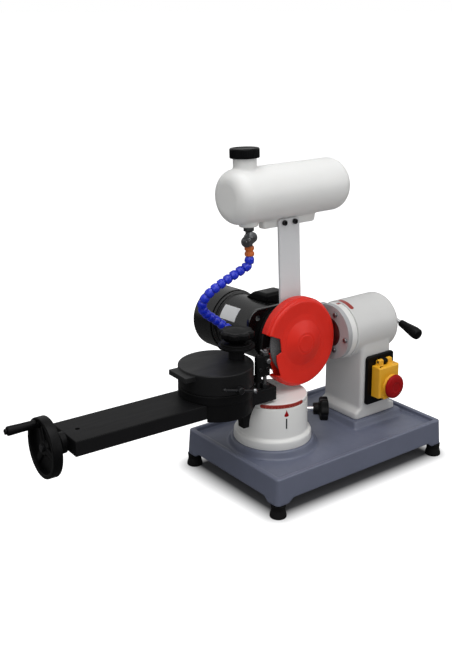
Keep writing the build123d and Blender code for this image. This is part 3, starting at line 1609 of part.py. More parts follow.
hose_rings.append((1.0, hose_neck_r))
with BuildPart() as coolant_hose:
    for place, radius in hose_rings:
        with BuildSketch(Plane(hose_path @ place, x_dir=(0, 1, 0), z_dir=hose_path % place)):
            Circle(radius)
    loft(ruled=True)
    for place, radius in hose_rings[::2]:
        with BuildSketch(Plane(hose_path @ place, x_dir=(0, 1, 0), z_dir=hose_path % place)):
            Circle(hose_bore_r)
    loft(ruled=True, mode=Mode.SUBTRACT)
print("hose length", round(hose_path.length, 1), "pitch", round(hose_pitch, 2))
nozzle_root = hose_path @ 1
nozzle_dir = hose_path % 1
nozzle_face = turned_face(
    Plane(nozzle_root, x_dir=nozzle_dir, z_dir=nozzle_dir.cross(Vector(0, 1, 0))),
    [
        (0, hose_bore_r),
        (0, hose_bell_r),
        (nozzle_collar, hose_bell_r),
        (nozzle_len, nozzle_tip_r),
        (nozzle_len, nozzle_bore_r),
    ],
)
with BuildPart() as hose_nozzle:
    revolve(nozzle_face, axis=Axis(nozzle_root, nozzle_dir))

# Pieces by the setting that they follow: the base stands, the head tilts, the turret swings
fixed_pieces = {
    "base_casting": base_casting,
    "rubber_feet": rubber_feet,
    "base_screws": base_screws,
    "swivel_seat": swivel_seat,
    "turret_lock": turret_lock,
    "column": column,
    "quill_bushes": quill_bushes,
    "quill": quill,
    "tilt_bolt": tilt_bolt,
    "stroke_lever": stroke_lever,
    "lever_grip": lever_grip,
    "switch_plate": switch_plate,
    "switch_body": switch_body,
    "flap_pin": flap_pin,
    "start_button": start_button,
    "stop_button": stop_button,
    "switch_flap": switch_flap,
    "stop_mushroom": stop_mushroom,
}
head_pieces = {
    "swivel_ring": swivel_ring,
    "head_bracket": head_bracket,
    "head_screws": head_screws,
    "tank_post": tank_post,
    "motor_housing": motor_housing,
    "motor_bearings": motor_bearings,
    "stator": stator,
    "fan_cover": fan_cover,
    "junction_box": junction_box,
    "rotor_shaft": rotor_shaft,
    "cooling_fan": cooling_fan,
    "wheel_flanges": wheel_flanges,
    "grinding_wheel": grinding_wheel,
    "wheel_nut": wheel_nut,
    "guard_back": guard_back,
    "guard_cover": guard_cover,
    "coolant_tank": coolant_tank,
    "filler_neck": filler_neck,
    "tank_cap": tank_cap,
    "valve_body": valve_body,
    "valve_handle": valve_handle,
    "hose_fitting": hose_fitting,
    "coolant_hose": coolant_hose,
    "hose_nozzle": hose_nozzle,
}
turret_pieces = {
    "turret_plate": turret_plate,
    "slide_bar": slide_bar,
    "turret_screws": turret_screws,
    "end_bearing": end_bearing,
    "lead_screw": lead_screw,
    "handwheel": handwheel,
    "handle_spindle": handle_spindle,
    "handle_grip": handle_grip,
    "saddle": saddle,
    "lead_nut": lead_nut,
    "work_table": work_table,
    "blade_arbor": blade_arbor,
    "clamp_flange": clamp_flange,
    "clamp_knob": clamp_knob,
    "carriage_lock": carriage_lock,
    "finger_posts": finger_posts,
    "finger_clamp": finger_clamp,
    "finger_arm": finger_arm,
}
for piece in head_pieces.values():
    piece.part = piece.part.rotate(quill_axis, head_set)
for piece in turret_pieces.values():
    piece.part = piece.part.rotate(turret_axis, bar_swing)
for name, piece in {**fixed_pieces, **head_pieces, **turret_pieces}.items():
    piece.part.label = name
    export_step(piece.part, f"parts/{name}.step")
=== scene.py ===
import json
import math
import bmesh
import bpy
import numpy as np
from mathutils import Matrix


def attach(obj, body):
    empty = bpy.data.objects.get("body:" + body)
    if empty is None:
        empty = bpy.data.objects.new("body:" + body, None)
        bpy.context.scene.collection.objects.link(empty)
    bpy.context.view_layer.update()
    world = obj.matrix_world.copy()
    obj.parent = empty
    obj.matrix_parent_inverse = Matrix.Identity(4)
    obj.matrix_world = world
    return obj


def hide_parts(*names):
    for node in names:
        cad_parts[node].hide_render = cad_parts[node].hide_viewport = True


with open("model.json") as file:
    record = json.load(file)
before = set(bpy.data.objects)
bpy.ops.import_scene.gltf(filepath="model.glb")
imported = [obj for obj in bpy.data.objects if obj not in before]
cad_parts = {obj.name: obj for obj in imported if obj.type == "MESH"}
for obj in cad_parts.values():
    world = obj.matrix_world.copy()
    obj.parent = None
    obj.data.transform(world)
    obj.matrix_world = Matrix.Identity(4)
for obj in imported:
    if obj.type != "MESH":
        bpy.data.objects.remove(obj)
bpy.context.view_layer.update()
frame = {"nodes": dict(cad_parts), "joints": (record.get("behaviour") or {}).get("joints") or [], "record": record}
nodes = frame["nodes"]
joints = {joint["name"]: joint for joint in frame["joints"]}
bodyOf = {node: body for body, members in frame["record"]["behaviour"]["bodies"].items() for node in members}


# Places: the head leans about the quill and the bar swings about its turret, so each group has
# its own drawing axes. Drawing sizes are millimetres, the row frame is metres.
def unit(values):
    vector = np.array(values, float)
    return vector / np.linalg.norm(vector)


def placeAt(origin, along, up, drawn=None):
    along = unit(along)
    across = unit(np.cross(up, along))
    axes = np.array([along, across, np.cross(along, across)])
    start = np.array(origin, float) * 1000
    return {"origin": start, "drawn": start if drawn is None else np.array(drawn, float), "axes": axes}


def toRow(points, place):
    return (place["origin"] + (np.asarray(points, float) - place["drawn"]) @ place["axes"]) / 1000


def toDrawing(points, place):
    return place["drawn"] + (np.asarray(points, float) * 1000 - place["origin"]) @ place["axes"].T


def jointIn(name, place):
    return toDrawing(joints[name]["pos_m"], place)


def cornersOf(node):
    corners = np.empty(len(nodes[node].data.vertices) * 3, np.float32)
    nodes[node].data.vertices.foreach_get("co", corners)
    return corners.reshape(-1, 3).astype(float)


def span(node, place):
    drawing = toDrawing(cornersOf(node), place)
    return drawing.min(0), drawing.max(0)


headUp = joints["cap_lift"]["axis"]
basePlace = placeAt((0, 0, 0), (1, 0, 0), (0, 0, 1))
headPlace = placeAt(joints["head_tilt"]["pos_m"], (1, 0, 0), headUp)
barPlace = placeAt(joints["turret_swivel"]["pos_m"], joints["handwheel_turn"]["axis"], (0, 0, 1))
lockTurn, valveTurn = joints["turret_lock_turn"], joints["valve_turn"]
lockPlace = placeAt(lockTurn["pos_m"], lockTurn["axis"], (0, 0, 1), (0, 0, 0))
valvePlace = placeAt(valveTurn["pos_m"], valveTurn["axis"], headUp, (0, 0, 0))
seatAxis = jointIn("turret_swivel", basePlace)[:2]
quillAxis = jointIn("head_tilt", basePlace)[1:]
wheelAxis = jointIn("wheel_spin", headPlace)[[0, 2]]
leadAxis = jointIn("handwheel_turn", barPlace)[1:]
handleAxis = jointIn("handle_spin", barPlace)[1:]


# Finishes
def linear(colour):
    share = np.array(colour, float) / 255
    curve = np.where(share <= 0.04045, share / 12.92, ((share + 0.055) / 1.055) ** 2.4)
    return (*curve.tolist(), 1.0)


def shaded(colour, share):
    return (*np.clip(np.array(linear(colour)[:3]) * share, 0, 1).tolist(), 1.0)


def filled(tree, node, inputs):
    # Each input takes another node's socket or a plain value
    for key, value in inputs.items():
        if isinstance(value, bpy.types.NodeSocket):
            tree.links.new(value, node.inputs[key])
        else:
            node.inputs[key].default_value = value
    return node.outputs


def added(tree, kind, inputs, **settings):
    node = tree.nodes.new("ShaderNode" + kind)
    for name, setting in settings.items():
        setattr(node, name, setting)
    return filled(tree, node, inputs)


def noiseOn(tree, vector, scale, detail=3.0, stretch=(1, 1, 1)):
    moved = added(tree, "Mapping", {"Vector": vector, "Scale": stretch})["Vector"]
    return added(tree, "TexNoise", {"Vector": moved, "Scale": scale, "Detail": detail})["Fac"]


def spread(tree, value, fromLow, fromHigh, toLow, toHigh):
    ends = {"From Min": fromLow, "From Max": fromHigh, "To Min": toLow, "To Max": toHigh}
    return added(tree, "MapRange", {"Value": value, **ends})["Result"]


def mixed(tree, share, first, second):
    return added(tree, "Mix", {0: share, 6: first, 7: second}, data_type="RGBA")[2]


def bumped(tree, height, strength, distance):
    return added(tree, "Bump", {"Height": height, "Strength": strength, "Distance": distance})["Normal"]


def newFinish(name):
    material = bpy.data.materials.new(name)
    material.use_nodes = True
    tree = material.node_tree
    return material, tree, tree.nodes["Principled BSDF"], added(tree, "TexCoord", {})["Object"]


# What the finishes share: cloud limits of the noise, rubbed gloss, grain and the glow of thin plastic
shading = {
    "cloud": (0.3, 0.7), "rub": (60, (1, 1, 1), 0.06), "rubDetail": 4.0, "grainDetail": 2.0,
    "grainHigh": 0.0002, "splitSoft": 0.0002, "specular": 0.5, "glowTint": (1.0, 0.95, 0.9),
    "glowDeep": 0.006,
}


def finishOf(name, colour, roughness, mottle, grain, own):
    material, tree, shader, place = newFinish(name)
    scale, amount = mottle
    cloud = spread(tree, noiseOn(tree, place, scale), *shading["cloud"], 0, 1)
    paint = mixed(tree, cloud, shaded(colour, 1 - amount), shaded(colour, 1 + amount))
    # Lighter colour on convex edges from pointiness: partly edge wear, partly a painted highlight along the edges
    if "edgeWearAndHighlight" in own:
        edgeFrom, edgeTo, edgeMost, edgeWearAndHighlightColour = own["edgeWearAndHighlight"]
        edge = added(tree, "NewGeometry", {})["Pointiness"]
        paint = mixed(tree, spread(tree, edge, edgeFrom, edgeTo, 0, edgeMost), paint, linear(edgeWearAndHighlightColour))
    if "split" in own:
        edge, beyond = own["split"]
        along = added(tree, "SeparateXYZ", {0: place})["X"]
        side = spread(tree, along, edge - shading["splitSoft"], edge + shading["splitSoft"], 0, 1)
        paint = mixed(tree, side, linear(beyond), paint)
    rubScale, rubStretch, rubAmount = own.get("rub", shading["rub"])
    streak = noiseOn(tree, place, rubScale, shading["rubDetail"], rubStretch)
    grainScale, grainStrength = grain
    grained = noiseOn(tree, place, grainScale, shading["grainDetail"])
    filled(tree, shader, {
        "Base Color": paint, "Metallic": own.get("metallic", 0.0),
        "Specular IOR Level": own.get("specular", shading["specular"]),
        "Roughness": spread(tree, streak, *shading["cloud"], roughness - rubAmount, roughness + rubAmount),
        "Normal": bumped(tree, grained, grainStrength, shading["grainHigh"]),
    })
    if "glow" in own:
        filled(tree, shader, {
            "Subsurface Weight": own["glow"], "Subsurface Radius": shading["glowTint"],
            "Subsurface Scale": shading["glowDeep"],
        })
    return material


# Each finish: slot, colour, roughness, mottle (scale, share), grain (scale, strength) and what is its own:
# edgeWearAndHighlight has its limits, most and colour, lighter convex edges that are partly edge wear and partly a
# painted highlight; split the place along x and the colour before it
finishTable = {
    "slatePaint": ("slate_paint", (97, 102, 120), 0.42, (18, 0.05), (700, 0.12), {
        "edgeWearAndHighlight": (0.52, 0.62, 0.35, (140, 145, 158)),
    }),
    "whitePaint": ("white_paint", (226, 226, 224), 0.36, (14, 0.025), (650, 0.09), {}),
    # The column's copy of the white paint is darker than the seat's: painted shade on the column
    "shadedColumnWhite": ("white_paint", (208, 208, 207), 0.36, (14, 0.025), (650, 0.09), {}),
    "postGrey": ("white_paint", (218, 219, 221), 0.4, (20, 0.02), (700, 0.06), {}),
    "bracketPaint": ("bracket_paint", (168, 169, 171), 0.45, (40, 0.05), (900, 0.10), {
        "split": (0.012, (14, 14, 15)),
    }),
    "blackPaint": ("black_paint", (13, 13, 14), 0.5, (30, 0.15), (1100, 0.16), {
        "specular": 0.1, "rub": (30, (1, 6, 6), 0.03), "edgeWearAndHighlight": (0.53, 0.66, 0.5, (52, 52, 54)),
    }),
    "tableBlack": ("black_paint", (22, 22, 23), 0.42, (16, 0.16), (1100, 0.12), {
        "specular": 0.16, "rub": (20, (1, 6, 6), 0.05), "edgeWearAndHighlight": (0.53, 0.66, 0.4, (80, 80, 82)),
    }),
    "motorBlack": ("motor_black", (6, 6, 7), 0.26, (20, 0.12), (800, 0.05), {}),
    "footRubber": ("foot_rubber", (14, 14, 15), 0.72, (50, 0.2), (1500, 0.25), {"specular": 0.15}),
    "screwSteel": ("screw_steel", (150, 151, 153), 0.34, (120, 0.08), (900, 0.05), {"metallic": 1.0}),
    "darkScrew": ("screw_steel", (34, 34, 36), 0.38, (120, 0.1), (900, 0.06), {"metallic": 0.6}),
    "innerSteel": ("inner_steel", (122, 122, 124), 0.4, (60, 0.08), (700, 0.06), {
        "metallic": 1.0, "rub": (40, (1, 1, 10), 0.08),
    }),
    "chrome": ("chrome", (214, 215, 217), 0.13, (40, 0.03), (400, 0.02), {"metallic": 1.0}),
    "bronze": ("bronze", (168, 124, 72), 0.35, (60, 0.08), (700, 0.06), {"metallic": 1.0}),
    "guardRed": ("guard_red", (222, 40, 26), 0.34, (16, 0.05), (800, 0.10), {"specular": 0.3}),
    "scaleRed": ("guard_red", (150, 36, 26), 0.35, (60, 0.04), (900, 0.04), {}),
    "tickPink": ("guard_red", (226, 150, 140), 0.4, (60, 0.04), (900, 0.04), {}),
    "tankWhite": ("tank_white", (233, 233, 231), 0.38, (9, 0.015), (260, 0.05), {
        "specular": 0.4, "glow": 0.3,
    }),
    "plateSilver": ("tank_white", (222, 223, 224), 0.35, (40, 0.03), (600, 0.04), {}),
    "blackPlastic": ("black_plastic", (8, 8, 9), 0.4, (40, 0.12), (1600, 0.10), {"specular": 0.1}),
    "mattBlack": ("black_plastic", (9, 9, 10), 0.5, (40, 0.12), (1500, 0.16), {"specular": 0.1}),
    "markBlack": ("black_plastic", (24, 24, 26), 0.4, (60, 0.05), (900, 0.04), {}),
    "hoseBlue": ("hose_blue", (22, 46, 204), 0.28, (60, 0.06), (900, 0.05), {"specular": 0.55}),
    "fittingOrange": ("fitting_orange", (206, 106, 44), 0.36, (60, 0.06), (900, 0.05), {}),
    "valveGrey": ("valve_grey", (100, 102, 104), 0.33, (90, 0.10), (700, 0.08), {"metallic": 0.9}),
    "switchYellow": ("switch_yellow", (238, 176, 38), 0.38, (30, 0.04), (1300, 0.06), {}),
    "stopRed": ("stop_red", (152, 14, 18), 0.42, (40, 0.05), (1200, 0.04), {"specular": 0.1}),
    "startGreen": ("start_green", (38, 130, 70), 0.36, (40, 0.05), (1200, 0.04), {}),
}
stone = {
    "cell": 1500, "cloud": (0.1, 0.7), "bright": (150, 152, 154), "dark": (96, 98, 100), "roughness": 0.75,
    "bump": 0.5, "bumpHigh": 0.0003,
}


# Abrasive wheel: grey grit with bright and dark grains, worked out from cell noise
def stoneFinish():
    material, tree, shader, place = newFinish("wheelStone")
    grit = added(tree, "TexVoronoi", {"Vector": place, "Scale": stone["cell"]})["Distance"]
    grains = spread(tree, grit, *stone["cloud"], 0, 1)
    filled(tree, shader, {
        "Base Color": mixed(tree, grains, linear(stone["bright"]), linear(stone["dark"])),
        "Roughness": stone["roughness"], "Normal": bumped(tree, grit, stone["bump"], stone["bumpHigh"]),
    })
    return material


finishes = {name: finishOf(name, *look) for name, (slot, *look) in finishTable.items()}
finishes["wheelStone"] = stoneFinish()
slotNames = {name: row[0] for name, row in finishTable.items()} | {"wheelStone": "wheel_stone"}
finishBySlot = {slot: name for name, slot in reversed(slotNames.items())}
print("finishes:", len(finishes))


# Shapes
def eased(corners, steps=5, closed=False):
    # Corners (along, out, radius): a corner with a radius becomes an arc that touches both sides
    flat = np.array([corner[:2] for corner in corners], float)
    rows = []
    for i, corner in enumerate(corners):
        radius = corner[2] if len(corner) > 2 else 0
        if radius == 0:
            rows.append(flat[i : i + 1])
            continue
        before, after = unit(flat[i - 1] - flat[i]), unit(flat[(i + 1) % len(flat)] - flat[i])
        half = math.acos(np.clip(before @ after, -1, 1)) / 2
        centre = flat[i] + unit(before + after) * radius / math.sin(half)
        start = flat[i] + before * radius / math.tan(half) - centre
        end = flat[i] + after * radius / math.tan(half) - centre
        first = math.atan2(start[1], start[0])
        sweep = (math.atan2(end[1], end[0]) - first + math.pi) % (2 * math.pi) - math.pi
        angles = first + sweep * np.linspace(0, 1, steps)
        rows.append(centre + radius * np.stack([np.cos(angles), np.sin(angles)], 1))
    if closed:
        rows.append(rows[0][:1])
    return np.concatenate(rows)


def rodLine(near, far, radius, nearRound=0, farRound=0):
    # Profile of a plain round bar with closed ends
    return eased([(near, 0), (near, radius, nearRound), (far, radius, farRound), (far, 0)])


acrossAxes = {"x": (1, 2), "y": (0, 2), "z": (0, 1)}


def around(axis, centre, along, radius, angle):
    # Points at a radius and angle round an axis
    grid = np.zeros((*np.broadcast_shapes(np.shape(along), np.shape(radius), np.shape(angle)), 3))
    first, second = acrossAxes[axis]
    grid[..., "xyz".index(axis)] = along
    grid[..., first] = centre[0] + radius * np.cos(angle)
    grid[..., second] = centre[1] + radius * np.sin(angle)
    return grid


def turned(axis, centre, profile, steps=72, shape=None):
    # A profile (along, out) carried round an axis; shape gives the radius from (out, angle)
    angle = np.linspace(0, 2 * math.pi, steps, endpoint=False)[None, :]
    out = profile[:, 1:]
    return around(axis, centre, profile[:, :1], out if shape is None else shape(out, angle), angle)


def carried(path, sections, steps=32, straight=None):
    # A round section of changing radius carried along a path: rows are path points, columns angles
    tangent = np.gradient(path, axis=0) if straight is None else np.tile(straight, (len(path), 1))
    tangent /= np.linalg.norm(tangent, axis=1)[:, None]
    guide = np.array([0.35, 0.9, -0.25])  # a direction that no path here runs along
    side = guide - (tangent @ guide)[:, None] * tangent
    side /= np.linalg.norm(side, axis=1)[:, None]
    other = np.cross(tangent, side)
    angle = np.linspace(0, 2 * math.pi, steps, endpoint=False)
    ring = np.cos(angle)[None, :, None] * side[:, None] + np.sin(angle)[None, :, None] * other[:, None]
    return path[:, None] + sections[:, None, None] * ring


def capped(grid):
    # Both ends are closed on the middle of their row
    ends = [np.repeat(grid[k].mean(0)[None, None], grid.shape[1], 1) for k in (0, -1)]
    return np.concatenate([ends[0], grid, ends[1]])


def sheetOn(axis, centre, along, radius, middle, half, thick, columns=48):
    # Thin sheet on a round face: rows run along the axis, columns go out over the face and back under it
    along, radius, half = np.broadcast_arrays(np.asarray(along, float), radius, half)
    share = np.linspace(-1, 1, columns)
    angle = np.radians(middle + half[:, None] * np.concatenate([share, share[::-1]])[None, :])
    out = radius[:, None] + np.repeat([thick, -thick], columns)[None, :]
    return capped(around(axis, centre, along[:, None], out, angle))


def roundEnds(along, half, reach):
    # Half angle of a strip whose two ends are half circles: the reach shrinks towards the strip's sides
    share = np.linspace(-1, 1, len(along))
    return half - reach * (1 - np.sqrt(np.clip(1 - share ** 2, 0, 1)))


def hexed(out, angle):
    # Six flats: the radius is the across-flats half width over the cosine inside each sixth
    return out / np.cos((angle + math.pi / 6) % (math.pi / 3) - math.pi / 6)


def lobed(count, depth, sharpness=1.0, beyond=0.0):
    # Lobes: past a radius, it dips by a share of itself between the lobes
    def radius(out, angle):
        wave = (0.5 - 0.5 * np.cos(count * angle)) ** sharpness
        return out * (1 - depth * wave * (out > beyond))
    return radius


# Cap screw head, in shares of its radius and height
capScrew = {"round": 0.18, "rim": 0.58, "socket": 0.50, "socketFloor": 0.48, "socketDeep": 0.6}


def socketScrew(axis, place, top, capRadius, capHeight, outward):
    # A cap screw's head: a rounded cap, then a hexagonal socket sunk into it
    under = top - outward * capHeight
    floor = top - outward * capHeight * capScrew["socketDeep"]
    cap = eased([
        (under, 0), (under, capRadius), (top, capRadius, capRadius * capScrew["round"]),
        (top, capRadius * capScrew["rim"]),
    ])
    socket = np.array([
        (top, capRadius * capScrew["socket"]), (floor, capRadius * capScrew["socketFloor"]), (floor, 0.0),
    ])
    return np.concatenate([turned(axis, place, cap, 48), turned(axis, place, socket, 48, hexed)])


# Pieces: every mesh takes its body, its slot and the node whose place it takes
weld = {
    "piece": 2e-6, "thin": 1e-6, "node": 4e-6, "flat": 0.3, "bevelFrom": 28.0, "allSmooth": 180.0,
    "castFactor": 0.5,
}


def gridFaces(rows, columns, closed, start):
    # One face for each cell of a grid, round to its first column where it closes
    row = np.arange(rows - 1)[:, None] * columns
    column = np.arange(columns if closed else columns - 1)[None, :]
    here = start + row + column
    beside = start + row + (column + 1) % columns
    return np.stack([here, beside, beside + columns, here + columns], -1).reshape(-1, 4)


def dressed(name, mesh, members, body, finish, sharp):
    thing = bpy.data.objects.new(name, mesh)
    bpy.context.scene.collection.objects.link(thing)
    mesh.materials.clear()
    mesh.materials.append(finishes[finish])
    mesh.polygons.foreach_set("use_smooth", np.ones(len(mesh.polygons), bool))
    mesh.set_sharp_from_angle(angle=math.radians(sharp))
    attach(thing, body)
    if members:
        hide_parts(*members)
    return thing


def piece(name, grids, place, finish, node=None, body=None, closed=True, sharp=35.0):
    # Grids of points as one mesh: doubles at seams and poles are merged, faces point outwards
    points, faces, start = [], [], 0
    for grid in grids:
        rows, columns = grid.shape[:2]
        points.append(grid.reshape(-1, 3))
        faces.append(gridFaces(rows, columns, closed, start))
        start += rows * columns
    mesh = bpy.data.meshes.new(name)
    mesh.from_pydata(toRow(np.concatenate(points), place).tolist(), [], np.concatenate(faces).tolist())
    shell = bmesh.new()
    shell.from_mesh(mesh)
    bmesh.ops.remove_doubles(shell, verts=shell.verts, dist=weld["piece"])
    bmesh.ops.dissolve_degenerate(shell, edges=shell.edges, dist=weld["thin"])
    bmesh.ops.recalc_face_normals(shell, faces=shell.faces)
    shell.to_mesh(mesh)
    shell.free()
    return dressed(name, mesh, [node] if node else [], body or bodyOf[node], finish, sharp)


def softened(name, node, finish, width, segments=2):
    # The node's own faces with every sharp edge rounded: doubles merged, flat facets joined, edges bevelled
    shell = bmesh.new()
    shell.from_mesh(nodes[node].data)
    bmesh.ops.remove_doubles(shell, verts=shell.verts, dist=weld["node"])
    bmesh.ops.dissolve_limit(
        shell, angle_limit=math.radians(weld["flat"]), verts=shell.verts, edges=shell.edges
    )
    mesh = bpy.data.meshes.new(name)
    shell.to_mesh(mesh)
    shell.free()
    for layer in [a.name for a in mesh.attributes if a.name in ("custom_normal", "sharp_edge", "sharp_face")]:
        mesh.attributes.remove(mesh.attributes[layer])
    thing = dressed(name, mesh, [node], bodyOf[node], finish, weld["allSmooth"])
    bevel = thing.modifiers.new("roundedEdges", "BEVEL")
    bevel.width = width / 1000
    bevel.segments = segments
    bevel.limit_method = "ANGLE"
    bevel.angle_limit = math.radians(weld["bevelFrom"])
    bevel.use_clamp_overlap = False
    thing.modifiers.new("evenNormals", "WEIGHTED_NORMAL").keep_sharp = True


def cast(name, members, finish, cell, passes):
    # Castings: the nodes' faces remeshed in even cells and smoothed, so that inner and outer edges are soft
    shell = bmesh.new()
    for node in members:
        shell.from_mesh(nodes[node].data)
    bmesh.ops.remove_doubles(shell, verts=shell.verts, dist=weld["node"])
    faces = bpy.data.meshes.new(name + "Faces")
    shell.to_mesh(faces)
    shell.free()
    holder = bpy.data.objects.new(name + "Faces", faces)
    bpy.context.scene.collection.objects.link(holder)
    cells = holder.modifiers.new("cells", "REMESH")
    cells.mode = "VOXEL"
    cells.voxel_size = cell / 1000
    soft = holder.modifiers.new("soft", "SMOOTH")
    soft.factor = weld["castFactor"]
    soft.iterations = passes
    mesh = bpy.data.meshes.new_from_object(holder.evaluated_get(bpy.context.evaluated_depsgraph_get()))
    mesh.name = name
    bpy.data.objects.remove(holder)
    bpy.data.meshes.remove(faces)
    dressed(name, mesh, members, bodyOf[members[0]], finish, weld["allSmooth"])


# Camera at the photograph's place, from a few measured points of the base and bar
camera = {
    "place": (-1.1501, -1.2371, 0.8327), "yaw": 37.224, "pitch": 12.996,
    "focalPixels": 970.37, "axisRow": 228.0, "frameHeight": 670.0, "sensor": 36.0,
}


def setCamera():
    data = bpy.data.cameras.new("camera")
    data.sensor_width = camera["sensor"]
    data.lens = camera["sensor"] * camera["focalPixels"] / camera["frameHeight"]
    data.shift_y = (camera["axisRow"] - camera["frameHeight"] / 2) / camera["frameHeight"]
    thing = bpy.data.objects.new("camera", data)
    thing.location = camera["place"]
    thing.rotation_euler = (math.radians(90 - camera["pitch"]), 0, math.radians(-camera["yaw"]))
    bpy.context.scene.collection.objects.link(thing)
    bpy.context.scene.camera = thing


# Studio: pale floor with a painted shadow under the base, soft boxes, and a surround that is white to the
# camera and dimmer in reflections
studio = {
    "white": (1.0, 1.0, 1.0, 1.0), "black": (0.0, 0.0, 0.0, 1.0), "ambient": 0.28, "mirrored": 0.5,
    "floorHalf": 80.0, "floorLift": 0.95, "floorDim": 0.75, "paper": (195, 195, 195),
    # shade, shadeHalf and shadeSoft: colour, box and soft edge of the painted shadow on the floor under the base
    "shade": (125, 125, 128), "shadeHalf": (0.186, 0.112, 1.0), "shadeSoft": 0.05,
    "boxes": {
        "overhead": {"place": (-0.3, -0.5, 2.4), "aim": (0, 0, 0.2), "size": 2.2, "watts": 40.0},
        "leftFront": {"place": (-2.2, -1.8, 1.6), "aim": (-0.1, 0, 0.25), "size": 1.6, "watts": 12.0},
        "rightFront": {"place": (1.6, -2.4, 1.3), "aim": (0.05, 0, 0.2), "size": 1.6, "watts": 11.0},
    },
}


def setSurround():
    world = bpy.data.worlds.new("surround")
    bpy.context.scene.world = world
    world.use_nodes = True
    tree = world.node_tree
    ray = added(tree, "LightPath", {})
    direct = {0: ray["Is Camera Ray"], 1: ray["Is Transmission Ray"]}
    seen = added(tree, "Math", direct, operation="MAXIMUM")[0]
    mirrored = {0: ray["Is Glossy Ray"], 1: studio["mirrored"], 2: seen}
    share = added(tree, "Math", mirrored, operation="MULTIPLY_ADD")[0]
    dim = filled(tree, tree.nodes["Background"], {"Color": studio["white"], "Strength": studio["ambient"]})[0]
    bright = added(tree, "Background", {"Color": studio["white"]})[0]
    both = added(tree, "MixShader", {0: share, 1: dim, 2: bright})[0]
    filled(tree, tree.nodes["World Output"], {"Surface": both})


def setFloor():
    half = studio["floorHalf"]
    mesh = bpy.data.meshes.new("floor")
    corners = [(-half, -half, 0), (half, -half, 0), (half, half, 0), (-half, half, 0)]
    mesh.from_pydata(corners, [], [(0, 1, 2, 3)])
    floor = bpy.data.objects.new("floor", mesh)
    bpy.context.scene.collection.objects.link(floor)
    material, tree, shader, away = newFinish("floorPaper")
    mesh.materials.append(material)
    tree.nodes.remove(shader)
    # Distance from a box round the base's footprint: inside it the floor is painted darker as a shadow under the
    # base
    steps = {"ABSOLUTE": {}, "SUBTRACT": {1: studio["shadeHalf"]}, "MAXIMUM": {1: (0, 0, 0)}}
    for step, inputs in steps.items():
        away = added(tree, "VectorMath", {0: away, **inputs}, operation=step)["Vector"]
    away = added(tree, "VectorMath", {0: away}, operation="LENGTH")["Value"]
    clear = spread(tree, away, 0, studio["shadeSoft"], 0, 1)
    ray = added(tree, "LightPath", {})
    dimmed = {0: ray["Is Glossy Ray"], 1: -studio["floorDim"], 2: 1.0}  # reflections see a dimmer floor
    share = added(tree, "Math", dimmed, operation="MULTIPLY_ADD")[0]
    paper = mixed(tree, clear, linear(studio["shade"]), linear(studio["paper"]))
    matte = added(tree, "BsdfDiffuse", {"Color": mixed(tree, share, studio["black"], paper)})[0]
    # No lift inside the box either, so the painted shadow under the base stays dark to the camera
    lifted = {0: spread(tree, clear, 0, 1, 0, studio["floorLift"]), 1: ray["Is Camera Ray"]}
    lift = added(tree, "Emission", {"Strength": added(tree, "Math", lifted, operation="MULTIPLY")[0]})[0]
    both = added(tree, "AddShader", {0: matte, 1: lift})[0]
    filled(tree, tree.nodes["Material Output"], {"Surface": both})


def setLamps():
    for name, box in studio["boxes"].items():
        light = bpy.data.lights.new(name, "AREA")
        light.energy = box["watts"]
        light.size = box["size"]
        thing = bpy.data.objects.new(name, light)
        thing.location = box["place"]
        aim = np.subtract(box["aim"], box["place"])
        flat = math.hypot(aim[0], aim[1])
        thing.rotation_euler = (math.atan2(flat, -aim[2]), 0, math.atan2(aim[1], aim[0]) - math.pi / 2)
        bpy.context.scene.collection.objects.link(thing)


setCamera()
setSurround()
setFloor()
setLamps()
bpy.context.scene.view_settings.view_transform = "Standard"
print("camera and studio set")

# Coolant hose: ball and socket links on the route from the valve fitting to the nozzle
hose = {
    "route": [  # drawing points of the head, in millimetres
        (-132, 27, 408.5), (-132, 27, 393.5), (-141, 33, 386), (-159, 41, 375), (-179, 52, 361),
        (-196, 63, 346), (-203, 74, 329), (-199, 80, 313), (-186, 83, 301), (-170, 83, 290),
        (-157, 79, 278), (-146, 72, 268),
    ],
    "length": 0.2104, "links": 16, "perLink": 14, "bell": 8.5, "order": 3, "perPoint": 32,
    "phase": (0.0, 0.06, 0.16, 0.30, 0.46, 0.62, 0.80, 0.90, 0.93, 0.955, 1.0),
    "radius": (5.9, 6.0, 6.9, 8.0, 8.45, 8.5, 8.5, 8.35, 7.9, 6.2, 5.9),
}


def walkedAlong(line):
    return np.concatenate([[0], np.cumsum(np.linalg.norm(np.diff(line, axis=0), axis=1))])


def routeLine(points):
    # The route's points pull one smooth spline, which is read back as a line
    curve = bpy.data.curves.new("hoseRoute", "CURVE")
    curve.dimensions = "3D"
    curve.resolution_u = hose["perPoint"]
    spline = curve.splines.new("NURBS")
    spline.points.add(len(points) - 1)
    spline.points.foreach_set("co", np.column_stack([points, np.ones(len(points))]).ravel())
    spline.order_u = hose["order"]
    spline.use_endpoint_u = True
    holder = bpy.data.objects.new("hoseRoute", curve)
    mesh = bpy.data.meshes.new_from_object(holder)
    line = np.empty(len(mesh.vertices) * 3, np.float32)
    mesh.vertices.foreach_get("co", line)
    bpy.data.objects.remove(holder)
    bpy.data.curves.remove(curve)
    bpy.data.meshes.remove(mesh)
    return line.reshape(-1, 3).astype(float)


